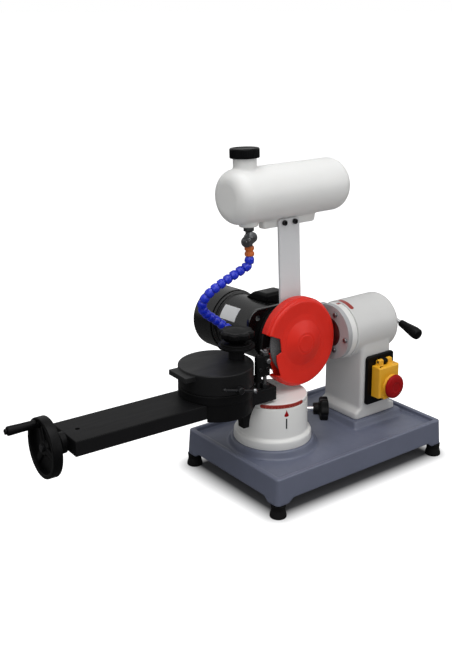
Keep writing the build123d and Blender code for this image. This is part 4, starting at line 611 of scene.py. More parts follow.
def coolantHose():
    # Round section along the route: its radius swells and narrows once in every link
    line = routeLine(toRow(hose["route"], headPlace)) * 1000
    walked = walkedAlong(line)
    count = hose["links"] * hose["perLink"] + 1
    along = np.linspace(0, walked[-1], count)
    path = np.stack([np.interp(along, walked, line[:, k]) for k in range(3)], 1)
    phase = (np.arange(count) / hose["perLink"]) % 1.0
    links = capped(carried(path, np.interp(phase, hose["phase"], hose["radius"])))
    thing = piece("hoseLinks", [links], basePlace, "hoseBlue", "coolant_hose", sharp=40.0)
    print("hose length", round(walked[-1], 1), "mm")


coolantHose()

# Base: tray casting on four rubber feet
base = {
    "cell": 1.82, "passes": 4, "footWell": 8.0, "footHeel": 4.5, "footTaper": 0.3, "footWaist": 11.8,
    "footWaistAt": 0.62, "footTop": 12.9,
}


def trayBase():
    # Feet: one profile with a heel and a waist, carried round each foot's mount
    cast("trayCasting", ["base_casting"], "slatePaint", base["cell"], base["passes"])
    high = span("rubber_feet", basePlace)[1]
    mounts = [mount for mount in frame["record"]["mounts"] if mount["name"].startswith("foot")]
    places = [np.array(mount["pos_m"][:2]) * 1000 for mount in mounts]
    wide = high[0] - max(place[0] for place in places)
    profile = eased([
        (base["footWell"], 0), (base["footWell"], wide / 2), (0, wide / 2), (0, wide, 1.8),
        (base["footHeel"], wide - base["footTaper"], 2),
        (base["footWaistAt"] * high[2], base["footWaist"], 6), (high[2], base["footTop"]), (high[2], 0),
    ])
    feet = [turned("z", place, profile) for place in places]
    piece("rubberFeet", feet, basePlace, "footRubber", "rubber_feet")


trayBase()
print("base done")

# Swivel seat with its scale and pointer
seat = {
    "drum": 63.0, "drumTop": 62.0, "flangeHeight": 15.5, "flangeRound": 4.5, "flangeTaper": 0.6,
    "rootRise": 1.0, "rootRound": 4.0, "topRound": 2.2, "cavity": 48.0, "roof": 37.0, "bore": 20.2,
    "sheet": 0.2,
    "pointerAngle": -107.0, "dropTop": 147.2, "dropLow": 133.8, "dropHalf": 4.2, "dropSwell": 1.62,
    "dropRun": (0.01, 0.995, 24), "dropPowers": (1.5, 6), "dashTop": 130.4, "dashLow": 111.6, "dashHalf": 1.3,
    "scaleMiddle": -111.2, "scaleHalf": 39.8, "scaleEnd": 3.6, "scaleLow": 149.7, "scaleHigh": 156.3,
    "padHigh": 5.0, "plateEdge": 2.5, "tickStep": 5.0, "tickHalf": 0.2, "tickSheet": 0.26, "tickFrom": 0.06,
    "tickLong": 0.75, "tickShort": 0.45,
}


def swivelSeat():
    # Drum: flange, wall and hollow in one profile round the swivel's axis, with thin sheets on it as marks
    low, high = span("swivel_seat", basePlace)
    flange = (high[0] - low[0]) / 2
    shoulder = low[2] + seat["flangeHeight"]
    foot, top, roof = low[2], high[2], high[2] - seat["roof"]
    profile = eased([
        (foot, seat["cavity"]), (foot, flange, 0.8),
        (shoulder, flange - seat["flangeTaper"], seat["flangeRound"]),
        (shoulder + seat["rootRise"], seat["drum"], seat["rootRound"]),
        (top, seat["drumTop"], seat["topRound"]), (top, seat["bore"]), (roof, seat["bore"]),
        (roof, seat["cavity"]), (foot, seat["cavity"]),
    ])
    piece("seatDrum", [turned("z", seatAxis, profile, 144)], basePlace, "whitePaint", "swivel_seat", sharp=50)
    share = np.linspace(*seat["dropRun"])  # drop: a fine tip that swells to a round foot
    rise, fall = seat["dropPowers"]
    dropLine = seat["dropTop"] + share * (seat["dropLow"] - seat["dropTop"])
    dropHalf = seat["dropHalf"] * seat["dropSwell"] * share ** rise * np.sqrt(1 - share ** fall)
    dashLine = np.linspace(seat["dashTop"], seat["dashLow"], 6)
    for name, finish, columns, line, half in (
        ("pointerDrop", "stopRed", 12, dropLine, dropHalf),
        ("pointerDash", "markBlack", 6, dashLine, seat["dashHalf"]),
    ):
        drum = np.interp(line, (shoulder, top), (seat["drum"], seat["drumTop"]))
        half = np.degrees(half / seat["drum"])
        mark = sheetOn("z", seatAxis, line, drum, seat["pointerAngle"], half, seat["sheet"], columns)
        piece(name, [mark], basePlace, finish, body="base")


def turretScale():
    # Band: a thin sheet whose radius follows the plate's rounded edge, with a tick at each step of angle
    low, high = span("turret_plate", basePlace)
    plate = (high[0] - low[0]) / 2
    edge = seat["plateEdge"]
    corner = high[2] - seat["padHigh"] - edge
    rows = np.linspace(seat["scaleLow"], seat["scaleHigh"], 14)
    radius = plate - edge + np.sqrt(edge ** 2 - np.clip(rows - corner, 0, edge) ** 2)
    half = roundEnds(rows, seat["scaleHalf"], seat["scaleEnd"])
    band = sheetOn("z", seatAxis, rows, radius, seat["scaleMiddle"], half, seat["sheet"], 96)
    piece("scaleBand", [band], basePlace, "scaleRed", body="turret")
    count = int(seat["scaleHalf"] // seat["tickStep"])
    wide = np.degrees(seat["tickHalf"] / plate)
    ticks = []
    for k in range(-count, count + 1):
        tall = seat["tickLong"] if k % 2 == 0 else seat["tickShort"]
        line = rows[0] + (corner - rows[0]) * np.linspace(seat["tickFrom"], tall, 4)
        angle = seat["scaleMiddle"] + k * seat["tickStep"]
        ticks.append(sheetOn("z", seatAxis, line, plate, angle, wide, seat["tickSheet"], 3))
    piece("scaleTicks", ticks, basePlace, "tickPink", body="turret")


swivelSeat()
turretScale()
print("swivel seat done")

# Turret lock: plated stud, hub and a knob with six lobes and a dished face
lock = {
    "stud": 4.0, "sink": 1.0, "hub": 11.0, "hubLength": 11.0, "hubTaper": 0.4, "flare": 2.0, "flareFrom": 2.5,
    "knob": 21.5, "knobThick": 16.0, "knobEase": 2.0, "knobRise": 3.0, "lobes": 6, "lobeDepth": 0.15,
    "lobeWidth": 0.8, "dishEdge": 13.0, "dish": 10.0, "dishDeep": 2.2, "faceEase": 1.0,
}


def turretLock():
    # Profiles carried round the lock's axis; the knob's radius dips between its lobes
    low, high = span("turret_lock", lockPlace)
    back = high[0] - lock["knobThick"]
    hubBack = back - lock["hubLength"]
    hubFront = back + lock["sink"]
    floor = high[0] - lock["dishDeep"]
    studLine = rodLine(low[0], hubBack + lock["sink"], lock["stud"], 0.5)
    piece("lockStud", [turned("x", (0, 0), studLine, 32)], lockPlace, "chrome", body="turret_lock")
    hubLine = eased([
        (hubBack, 0), (hubBack, lock["hub"] - lock["hubTaper"], 1.2),
        (back - lock["flareFrom"], lock["hub"], 1.0), (hubFront, lock["hub"] + lock["flare"]), (hubFront, 0),
    ])
    knobLine = eased([
        (back, 0), (back, lock["knob"] - lock["knobEase"], 2.0), (back + lock["knobRise"], lock["knob"], 2.5),
        (high[0] - lock["faceEase"], lock["knob"], 3.0), (high[0], lock["dishEdge"], 2.0),
        (floor, lock["dish"], 1.5), (floor, 0),
    ])
    knob = turned("x", (0, 0), knobLine, 144, lobed(lock["lobes"], lock["lobeDepth"], lock["lobeWidth"]))
    piece("lockKnob", [turned("x", (0, 0), hubLine, 48), knob], lockPlace, "blackPlastic", "turret_lock")


turretLock()

# Slide bar and its handwheel
bar = {"edge": 0.9, "bearingEdge": 0.6, "spindleEdge": 0.4}
wheel = {
    "rimThick": 7.0, "rimRound": 1.5, "rimWide": 16.0, "web": 4.0, "webSink": 2.0,
    "hub": 13.0, "hubFront": 4.0, "hubEase": 1.5, "bore": 6.1, "boss": 7.6, "bossFloor": 4.0, "spindle": 3.1,
    "spokes": 3, "spokeHalf": 6.0, "spokeDeep": 4.0, "spokeTaper": (1.12, 0.92), "spokeSink": 2.0,
    "spokeSquare": 0.7, "spokeRows": 10, "handleAngle": 70.0,
    "gripRoot": 6.8, "gripWaist": 6.9, "gripWaistAt": 0.45, "gripBig": 7.5, "gripBigAt": 5.0, "gripTip": 7.4,
    "gripRound": 2.4,
}


def spoke(angle, near, far, middle):
    # A flat oval section carried outwards from the hub to the rim, a little narrower at the rim
    out = np.linspace(near, far, wheel["spokeRows"])[:, None]
    wide = wheel["spokeHalf"] * np.linspace(*wheel["spokeTaper"], wheel["spokeRows"])[:, None]
    turn = np.linspace(0, 2 * math.pi, 28, endpoint=False)
    waves = np.array([np.cos(turn), np.sin(turn)])
    flat, tall = np.sign(waves) * np.abs(waves) ** wheel["spokeSquare"]
    across = wide * flat
    grid = np.zeros((*across.shape, 3))
    grid[..., 0] = middle + wheel["spokeDeep"] * tall
    grid[..., 1] = leadAxis[0] + out * math.cos(angle) - across * math.sin(angle)
    grid[..., 2] = leadAxis[1] + out * math.sin(angle) + across * math.cos(angle)
    return capped(grid)


def handWheel():
    # Rim, hub, boss and web are profiles round their axes, and the spokes run from hub to rim
    low, high = span("handwheel", barPlace)
    outer = (high[2] - low[2]) / 2
    inner = outer - wheel["rimThick"]
    back = low[0] + wheel["rimWide"]
    hubFront = low[0] + wheel["hubFront"]
    webBack = back - wheel["hubFront"]
    middle = webBack - wheel["spokeDeep"]
    bossFloor = back - wheel["bossFloor"]
    soft = wheel["rimRound"]
    rim = [(low[0], inner, soft), (low[0], outer, soft), (back, outer, soft), (back, inner, soft)]
    hub = eased([
        (hubFront, wheel["bore"]), (hubFront, wheel["hub"] - wheel["hubEase"], 1.5),
        (middle, wheel["hub"] + wheel["hubEase"], 4.0), (high[0], wheel["hub"], 1.2),
        (high[0], wheel["bore"]), (hubFront, wheel["bore"]),
    ])
    boss = eased([
        (low[0], wheel["spindle"]), (low[0], wheel["boss"], 1.0), (back, wheel["boss"], 1.0), (back, 0),
        (bossFloor, 0), (bossFloor, wheel["spindle"]), (low[0], wheel["spindle"]),
    ])
    web = rodLine(webBack, webBack - wheel["web"], inner + wheel["webSink"])
    grids = [
        turned("x", leadAxis, eased(rim, closed=True), 128), turned("x", leadAxis, hub, 64),
        turned("x", handleAxis, boss, 40), turned("x", leadAxis, web, 128),
    ]
    for k in range(wheel["spokes"]):
        angle = math.radians(wheel["handleAngle"]) + 2 * math.pi * k / wheel["spokes"]
        grids.append(spoke(angle, wheel["bore"] + wheel["spokeSink"], outer - wheel["rimThick"] / 2, middle))
    piece("handwheelRim", grids, barPlace, "blackPlastic", "handwheel", sharp=50)


def handleGrip():
    # One profile with a waist and a fuller end, carried round the handle's axis
    low, high = span("handle_grip", barPlace)
    waist = high[0] - wheel["gripWaistAt"] * (high[0] - low[0])
    rows = eased([
        (high[0], wheel["spindle"]), (high[0], wheel["gripRoot"], 0.8), (waist, wheel["gripWaist"], 40),
        (low[0] + wheel["gripBigAt"], wheel["gripBig"], 6), (low[0], wheel["gripTip"], wheel["gripRound"]),
        (low[0], wheel["spindle"]), (high[0], wheel["spindle"]),
    ])
    handle = turned("x", handleAxis, rows, 48)
    piece("handleGrip", [handle], barPlace, "blackPlastic", "handle_grip", sharp=60)


# Lead screw: the radius rises and falls along a helix between two plain ends
thread = {
    "pitch": 5.0, "root": 4.9, "crest": 6.0, "flank": 2.2, "floor": 0.6, "perTurn": 12, "columns": 28,
    "plain": 66.0, "tail": 5.0, "tailLength": 11.5, "collar": 8.4, "collarFrom": 8.0, "collarTo": 2.0,
}


def leadScrew():
    low, high = span("lead_screw", barPlace)
    start, end = low[0] + thread["plain"], high[0] - thread["tailLength"]
    along = np.linspace(start, end, int((end - start) / thread["pitch"] * thread["perTurn"]))[:, None]
    angle = np.linspace(0, 2 * math.pi, thread["columns"], endpoint=False)[None, :]
    phase = (along / thread["pitch"] + angle / (2 * math.pi)) % 1.0
    wave = np.clip(thread["flank"] * np.abs(2 * phase - 1) - thread["floor"], 0, 1)
    fade = np.clip(np.minimum(along - start, end - along) / thread["pitch"], 0, 1)
    radius = thread["crest"] - (thread["crest"] - thread["root"]) * (1 - wave) * fade
    front, collar, tail = (turned("x", leadAxis, line, thread["columns"]) for line in (
        rodLine(low[0], start, thread["crest"], 0.8),
        rodLine(start - thread["collarFrom"], start - thread["collarTo"], thread["collar"], 0.6, 0.6),
        rodLine(end, high[0], thread["tail"], 0, 0.6),
    ))
    grids = [capped(around("x", leadAxis, along, radius, angle)), collar, tail]
    piece("leadThread", grids, barPlace, "innerSteel", "lead_screw", sharp=40)
    piece("leadEnd", [front], barPlace, "darkScrew", body="handwheel", sharp=40)


softened("slideBar", "slide_bar", "blackPaint", bar["edge"])
softened("endBearing", "end_bearing", "blackPaint", bar["bearingEdge"])
handWheel()
handleGrip()
softened("handleSpindle", "handle_spindle", "blackPlastic", bar["spindleEdge"])
leadScrew()
print("bar done")

# Carriage: saddle, table, clamp and lock
carriage = {
    "edge": 0.8, "flangeEdge": 0.7, "knobNeck": 13.0, "knobNeckHeight": 4.0, "knobOver": 0.35,
    "neckFlare": 0.6, "neckFlareAt": 1.2, "knobSideAt": 7.0, "knobSideEase": 0.4,
    "knobUnder": ((0.6, 0.74, 1.5), (4.2, 0.86, 2.5)),  # rise over the neck, share of the width, round
    "knobTop": ((2.2, 1.0, 2.0), (0.2, 0.84, 2.5), (0.9, 0.6, 3.0), (0.1, 0.32, 2.0)),  # drop, share, round
    "flutes": 8, "fluteDepth": 0.125, "fluteWidth": 1.6, "fluteFrom": 0.66,
    "stud": 4.0, "gap": 0.3, "hub": 6.0, "hubLength": 11.0,
    "tommy": 2.2, "ball": 4.2, "tip": 3.1, "tommyLeft": 32.0, "tommyRight": 31.0, "tommyAngle": 14.0,
}


def clampKnob():
    # One profile from the neck to the dished top, carried round the clamp's axis and dipped in flutes
    low, high = span("clamp_knob", barPlace)
    axis = jointIn("clamp_turn", barPlace)[:2]
    wide = (high[0] - low[0]) / 2 + carriage["knobOver"]
    neck, under, top = carriage["knobNeck"], low[2] + carriage["knobNeckHeight"], high[2]
    rows = eased([
        (low[2], 0), (low[2], neck, 0.8),
        (under - carriage["neckFlareAt"], neck + carriage["neckFlare"], 1.0),
        *((under + rise, wide * share, soft) for rise, share, soft in carriage["knobUnder"]),
        (under + carriage["knobSideAt"], wide - carriage["knobSideEase"], 2.5),
        *((top - drop, wide * share, soft) for drop, share, soft in carriage["knobTop"]), (top, 0),
    ])
    past = wide * carriage["fluteFrom"]
    flute = lobed(carriage["flutes"], carriage["fluteDepth"], carriage["fluteWidth"], past)
    piece("clampKnob", [turned("z", axis, rows, 192, flute)], barPlace, "mattBlack", "clamp_knob", sharp=60)


def tableLock():
    # Hub: a stepped profile round its axis. Rod and balls: a round section along the tommy bar's line
    hubAt = jointIn("table_lock_turn", barPlace)
    back = span("carriage_lock", barPlace)[1][1]
    face = hubAt[1] - carriage["gap"]
    front = face - carriage["hubLength"]
    hubLine = eased([
        (back, 0), (back, carriage["stud"], 0.5), (face, carriage["stud"]), (face, carriage["hub"], 0.8),
        (front, carriage["hub"], 1.4), (front, 0),
    ])
    piece("lockHub", [turned("y", hubAt[[0, 2]], hubLine, 40)], barPlace, "darkScrew", "carriage_lock")
    tilt = math.radians(carriage["tommyAngle"])
    middle = np.array([hubAt[0], (face + front) / 2, hubAt[2]])
    line = np.array([math.cos(tilt), 0, -math.sin(tilt)])
    share = np.linspace(-carriage["tommyLeft"], carriage["tommyRight"], 24)[:, None]
    rod = carried(middle + share * line, np.full(len(share), carriage["tommy"]), 20)
    piece("tommyRod", [rod], barPlace, "darkScrew", body="carriage_lock")
    swing = np.linspace(0, math.pi, 19)
    for name, place, radius, finish in (
        ("tommyBall", carriage["tommyRight"], carriage["ball"], "screwSteel"),
        ("tommyTip", -carriage["tommyLeft"], carriage["tip"], "darkScrew"),
    ):
        path = middle + line * (place - radius * np.cos(swing))[:, None]
        ball = carried(path, radius * np.sin(swing), 28)
        piece(name, [ball], barPlace, finish, body="carriage_lock", sharp=60)


softened("saddleDrum", "saddle", "blackPaint", carriage["edge"])
softened("workTable", "work_table", "tableBlack", carriage["edge"])
softened("clampFlange", "clamp_flange", "mattBlack", carriage["flangeEdge"])
clampKnob()
tableLock()
print("carriage done")

# Tooth finger: a steel post with a nut, a dark rod with a collar, a clamp with its screws and a sprung finger
finger = {
    "clampEdge": 0.7, "armEdge": 0.4, "post": 3.4, "rod": 3.0, "rodShort": 7.0, "pitch": 15.0, "sink": 12.0,
    "nut": 6.6, "nutHeight": 8.0, "cap": 5.2, "capHeight": 1.6, "screw": 3.2, "screwHigh": 2.6,
    "thumb": 4.6, "thumbHigh": 5.0, "thumbX": 1.0, "thumbDown": 9.0, "knurls": 16, "knurlDepth": 0.08,
    "pin": (-9.5, 1.5, 6.0), "pinThick": 1.4, "pinSink": 2.0, "pinRows": 8,
}


def fingerPosts():
    # Plain round bars on two upright axes, and a nut whose radius has six flats
    low, high = span("finger_posts", barPlace)
    swing = jointIn("finger_swing", barPlace)[:2]
    rodAt = swing - np.array([finger["pitch"], 0])
    barTop = low[2] + finger["sink"]
    post = rodLine(low[2], high[2], finger["post"], 0, 1.0)
    nut = rodLine(barTop, barTop + finger["nutHeight"], finger["nut"], 0, 0.8)
    rod = rodLine(low[2], high[2] - finger["rodShort"], finger["rod"], 0, 0.6)
    cap = rodLine(barTop, barTop + finger["capHeight"], finger["cap"], 0, 0.6)
    rodGrids = [turned("z", rodAt, rod, 32), turned("z", rodAt, cap, 40)]
    piece("fingerPost", [turned("z", swing, post, 32)], barPlace, "innerSteel", "finger_posts", sharp=40)
    piece("fingerNut", [turned("z", swing, nut, 48, hexed)], barPlace, "darkScrew", body="turret", sharp=40)
    piece("fingerRod", rodGrids, barPlace, "darkScrew", body="turret")


def fingerFittings():
    # Screw heads round axes square to the clamp's face, and a thin round section along the pin's line
    swing = jointIn("finger_swing", barPlace)
    low, high = span("finger_clamp", barPlace)
    face, middle = low[1], (low[2] + high[2]) / 2
    screws = [
        socketScrew("y", (x, middle), face - finger["screwHigh"], finger["screw"], finger["screwHigh"], -1)
        for x in (swing[0], swing[0] - finger["pitch"])
    ]
    piece("fingerScrews", screws, barPlace, "darkScrew", body="finger_clamp")
    thumbAt = (swing[0] + finger["thumbX"], high[2] - finger["thumbDown"])
    line = rodLine(face, face - finger["thumbHigh"], finger["thumb"], 0, 0.8)
    thumb = turned("y", thumbAt, line, 96, lobed(finger["knurls"], finger["knurlDepth"]))
    piece("fingerThumb", [thumb], barPlace, "screwSteel", body="finger_clamp", sharp=50)
    root = np.array([*swing[:2], span("finger_arm", barPlace)[1][2] - finger["pinSink"]])
    thick = np.full(finger["pinRows"], finger["pinThick"])
    thick[[0, -1]] = 0
    path = root + np.linspace(0, 1, finger["pinRows"])[:, None] * np.array(finger["pin"])
    piece("fingerPin", [carried(path, thick, 16)], barPlace, "screwSteel", body="finger_arm", sharp=60)


softened("fingerClamp", "finger_clamp", "blackPaint", finger["clampEdge"])
softened("fingerArm", "finger_arm", "innerSteel", finger["armEdge"])
fingerPosts()
fingerFittings()
print("finger done")

# Column, stroke lever and switch
column = {
    "cell": 1.8, "passes": 5, "barrel": 54.0, "stripFrom": 61.5, "stripTo": 70.5, "stripMiddle": 102.5,
    "stripHalf": 20.0, "stripEnd": 3.0, "sheet": 0.3,
}
grip = {
    "edge": 0.4, "small": 6.9, "waist": 8.3, "waistAt": 0.3, "big": 11.3, "bigAt": 12.0, "crown": 10.7,
    "crownAt": 1.0, "round": 4.2, "end": 4.0,
}
switch = {
    "plateEdge": 1.0, "flapEdge": 1.4, "headThick": 8.0, "headRound": 5.0, "stem": 6.0, "dish": 9.5,
    "dishDeep": 0.9, "dishIn": 1.2, "dishOut": 0.6, "lipAt": 0.1, "crown": 0.72, "crownAt": 0.5,
    "crownRound": 20, "shoulderAt": 3.2, "shoulderEase": 0.8,
}


def whiteColumn():
    # Strip: a thin sheet on the barrel, whose half angle shrinks to round ends
    # The column casting takes the darker copy of the white paint: painted shade
    cast("columnCasting", ["column"], "shadedColumnWhite", column["cell"], column["passes"])
    line = np.linspace(column["stripFrom"], column["stripTo"], 14)
    half = roundEnds(line, column["stripHalf"], column["stripEnd"])
    strip = sheetOn("x", quillAxis, line, column["barrel"], column["stripMiddle"], half, column["sheet"], 40)
    piece("strokeStrip", [strip], basePlace, "scaleRed", body="base")


def leverGrip():
    # One profile carried along the line from the lever's root through the middle of the grip
    low, high = span("stroke_lever", basePlace)
    root = np.array([(low[0] + high[0]) / 2, *quillAxis])
    corners = cornersOf("lever_grip") * 1000
    aim = unit(corners.mean(0) - root)
    reach = (corners - root) @ aim
    start, end = reach.min(), reach.max()
    rows = eased([
        (start, 0), (start, grip["small"], 1.0), (start + grip["waistAt"] * (end - start), grip["waist"], 30),
        (end - grip["bigAt"], grip["big"], 10), (end - grip["crownAt"], grip["crown"], grip["round"]),
        (end, grip["end"], 2.0), (end, 0),
    ], 7)
    body = carried(root + rows[:, :1] * aim, rows[:, 1], 48, aim)
    piece("leverGrip", [body], basePlace, "blackPlastic", "lever_grip", sharp=60)


def stopMushroom():
    # Dish, crown, shoulder and stem in one profile, carried round the button's axis
    low, high = span("stop_mushroom", basePlace)
    wide = (high[0] - low[0]) / 2
    front, floor, back = low[1], low[1] + switch["dishDeep"], low[1] + switch["headThick"]
    rows = eased([
        (floor, 0), (floor, switch["dish"] - switch["dishIn"], 1.5),
        (front + switch["lipAt"], switch["dish"] + switch["dishOut"], 1.2),
        (front + switch["crownAt"], wide * switch["crown"], switch["crownRound"]),
        (front + switch["shoulderAt"], wide - switch["shoulderEase"], switch["headRound"]),
        (back, wide, 1.0), (back, switch["stem"]), (high[1], switch["stem"], 0.5), (high[1], 0),
    ], 7)
    head = turned("y", ((low + high) / 2)[[0, 2]], rows, 96)
    piece("stopMushroom", [head], basePlace, "stopRed", "stop_mushroom", sharp=60)


whiteColumn()
leverGrip()
stopMushroom()
softened("strokeLever", "stroke_lever", "chrome", grip["edge"])
softened("switchPlate", "switch_plate", "blackPlastic", switch["plateEdge"], 3)
softened("switchFlap", "switch_flap", "switchYellow", switch["flapEdge"], 3)
print("column done")

# Head: ring, bracket with its bolts, motor, junction box
head = {
    "bracketEdge": 1.2, "postEdge": 0.8, "boxEdge": 2.2, "fanEdge": 1.0, "ringRound": (1.6, 0.96),
    "ringBore": 22.2,
    "faceBolts": ((6.0, 35.0), (-18.0, 36.0), (-43.0, -7.0), (-14.0, -32.0)), "boltCap": 4.5, "boltHigh": 4.0,
    "footScrewX": 12.0, "footScrewZ": 294.0, "footScrewStep": 0.2, "footScrewHigh": 2.4, "ribScrewZ": 458.0,
    "screwCap": 4.8, "screwHigh": 4.5, "tiltNut": 9.0, "tiltNutHigh": 2.0, "tiltNutSink": 1.0,
    "markMiddle": 97.0, "markHalf": 3.2, "markFrom": 8.0, "markTo": 0.8, "markSheet": 0.3,
}
motor = {
    "flange": 64.0, "flangeThick": 8.0, "flangeTaper": 1.5, "bodyStep": 2.0, "body": 54.0, "seat": 58.5,
    "seatRise": 1.0, "seatThick": 7.0, "seatGap": 0.4, "hole": 5.0, "holeAt": (-63.4, 47.5), "lugEdge": 1.2,
    "lug": ((0, 63), (-84, 63, 24), (-84, 12, 4), (-52.4, -36.7), (0, 0)), "farAway": 500.0,
    "plateFrom": 120.5, "plateTo": 166.0, "plateMiddle": 144.3, "plateHalf": 15.0, "plateThick": 0.4,
}


def swivelHead():
    # Ring: a closed profile round the quill's axis, with a thin sheet on it as the mark
    low, high = span("swivel_ring", headPlace)
    radius = (high[1] - low[1]) / 2
    bore, (frontRound, backRound) = head["ringBore"], head["ringRound"]
    rows = eased([
        (low[0], bore), (low[0], radius, frontRound), (high[0], radius, backRound), (high[0], bore),
        (low[0], bore),
    ])
    piece("swivelRing", [turned("x", quillAxis, rows, 128)], headPlace, "whitePaint", "swivel_ring")
    line = np.linspace(high[0] - head["markFrom"], high[0] - head["markTo"], 6)
    mark = sheetOn("x", quillAxis, line, radius, head["markMiddle"], head["markHalf"], head["markSheet"], 6)
    piece("ringMark", [mark], headPlace, "scaleRed", body="head")
    softened("headBracket", "head_bracket", "bracketPaint", head["bracketEdge"])


def headScrews():
    # Screw heads round axes square to the bracket's and the post's faces, and a nut with six flats
    face = span("tilt_bolt", headPlace)[0][0]
    cap, tall = head["boltCap"], head["boltHigh"]
    bolts = [socketScrew("x", quillAxis + place, face - tall, cap, tall, -1) for place in head["faceBolts"]]
    piece("faceBolts", bolts, headPlace, "screwSteel", "head_screws")
    nut = rodLine(face + head["tiltNutSink"], face - head["tiltNutHigh"], head["tiltNut"], 0, 0.7)
    piece("tiltNut", [turned("x", quillAxis, nut, 72, hexed)], basePlace, "screwSteel", body="quill")
    low, high = span("tank_post", headPlace)
    middle, front = (low[0] + high[0]) / 2, low[1]
    for name, finish, height, step, thick in (
        ("ribScrews", "darkScrew", head["ribScrewZ"], head["screwHigh"], head["screwHigh"]),
        ("footScrews", "screwSteel", head["footScrewZ"], head["footScrewStep"], head["footScrewHigh"]),
    ):
        places = [(middle + side * head["footScrewX"], height) for side in (-1, 1)]
        screws = [socketScrew("y", place, front - step, head["screwCap"], thick, -1) for place in places]
        piece(name, screws, headPlace, finish, body="head")


def motorLug(front):
    # The lug's outline as a distance from its hole along each angle, in levels from the front to the back
    angle = np.linspace(0, 2 * math.pi, 160, endpoint=False)
    outline = eased(motor["lug"], 9, closed=True) - motor["holeAt"]
    side = np.diff(outline, axis=0)
    facing = side[:, 1] * np.cos(angle)[:, None] - side[:, 0] * np.sin(angle)[:, None]
    away = outline[:-1, 0] * side[:, 1] - outline[:-1, 1] * side[:, 0]
    reach = np.where(facing > 1e-9, away / np.maximum(facing, 1e-9), motor["farAway"]).min(1)
    hole = np.full(len(angle), motor["hole"])
    soft, thick = motor["lugEdge"], motor["flangeThick"]
    depth = front + np.array([0, 0, soft, thick - soft, thick, thick, 0])[:, None]
    out = np.array([hole, reach - soft, reach, reach, reach - soft, hole, hole])
    return around("y", wheelAxis + np.array(motor["holeAt"]), depth, out, angle)


def grindingMotor():
    # Flange, barrel and seat in one profile round the wheel's axis, with a thin sheet on it as the plate
    low, high = span("motor_housing", headPlace)
    flangeBack = low[1] + motor["flangeThick"]
    coverFront = span("fan_cover", headPlace)[0][1]
    seatFront, seatBack = coverFront - motor["seatThick"], coverFront - motor["seatGap"]
    rows = eased([
        (low[1], 0), (low[1], motor["flange"], 1.0),
        (flangeBack, motor["flange"] - motor["flangeTaper"], 3.0),
        (flangeBack + motor["bodyStep"], motor["body"], 3.0),
        (seatFront - motor["seatRise"], motor["body"], 1.0), (seatFront, motor["seat"], 1.2),
        (seatBack, motor["seat"], 1.0), (seatBack, motor["body"]), (high[1], motor["body"]), (high[1], 0),
    ])
    grids = [turned("y", wheelAxis, rows, 160), motorLug(low[1])]
    piece("motorHousing", grids, headPlace, "motorBlack", "motor_housing", sharp=40)
    line = np.linspace(motor["plateFrom"], motor["plateTo"], 12)
    plate = sheetOn(
        "y", wheelAxis, line, motor["body"], motor["plateMiddle"], motor["plateHalf"], motor["plateThick"], 24
    )
    piece("ratingPlate", [plate], headPlace, "plateSilver", body="head")


swivelHead()
headScrews()
grindingMotor()
softened("junctionBox", "junction_box", "blackPlastic", head["boxEdge"], 3)
softened("tankPost", "tank_post", "postGrey", head["postEdge"])
softened("fanCover", "fan_cover", "motorBlack", head["fanEdge"])
print("head done")

# Guard cover: one profile from the middle out to the seam, carried round the wheel's axis. Inside the
# notch each ray ends at the notch's edge, and beyond the notch's lowest side the rim stands as a lip.
guard = {
    "notch": ((-115, 45), (-52, 17.5), (-49.5, -7.5), (-61, -12), (-61, -22), (-53, -50)),
    "lipEnd": (-95, -52), "lipTurn": 0.3, "lipSteps": 600, "wall": 2.4, "backEdge": 0.7,
    "fine": 4000, "rows": 150, "columns": 212, "sideColumns": 16, "lipRows": 24,
    "profile": (
        (-23.0, 0), (-23.0, 15.0, 1.0), (-22.2, 16.2, 1.0), (-22.0, 20.0, 9.0), (-14.6, 41.0, 12.0),
        (-13.5, 52.0, 10.0), (-13.5, 79.0, 6.5), (-5.8, 79.0, 0.8), (-5.4, 81.0, 0.9), (-3.0, 81.0),
    ),
}


def rayReach(angle, first, last):
    # Distance from the wheel's axis, along each angle, to the line through two points
    side = np.subtract(last, first)
    return (first[0] * side[1] - first[1] * side[0]) / (np.cos(angle) * side[1] - np.sin(angle) * side[0])


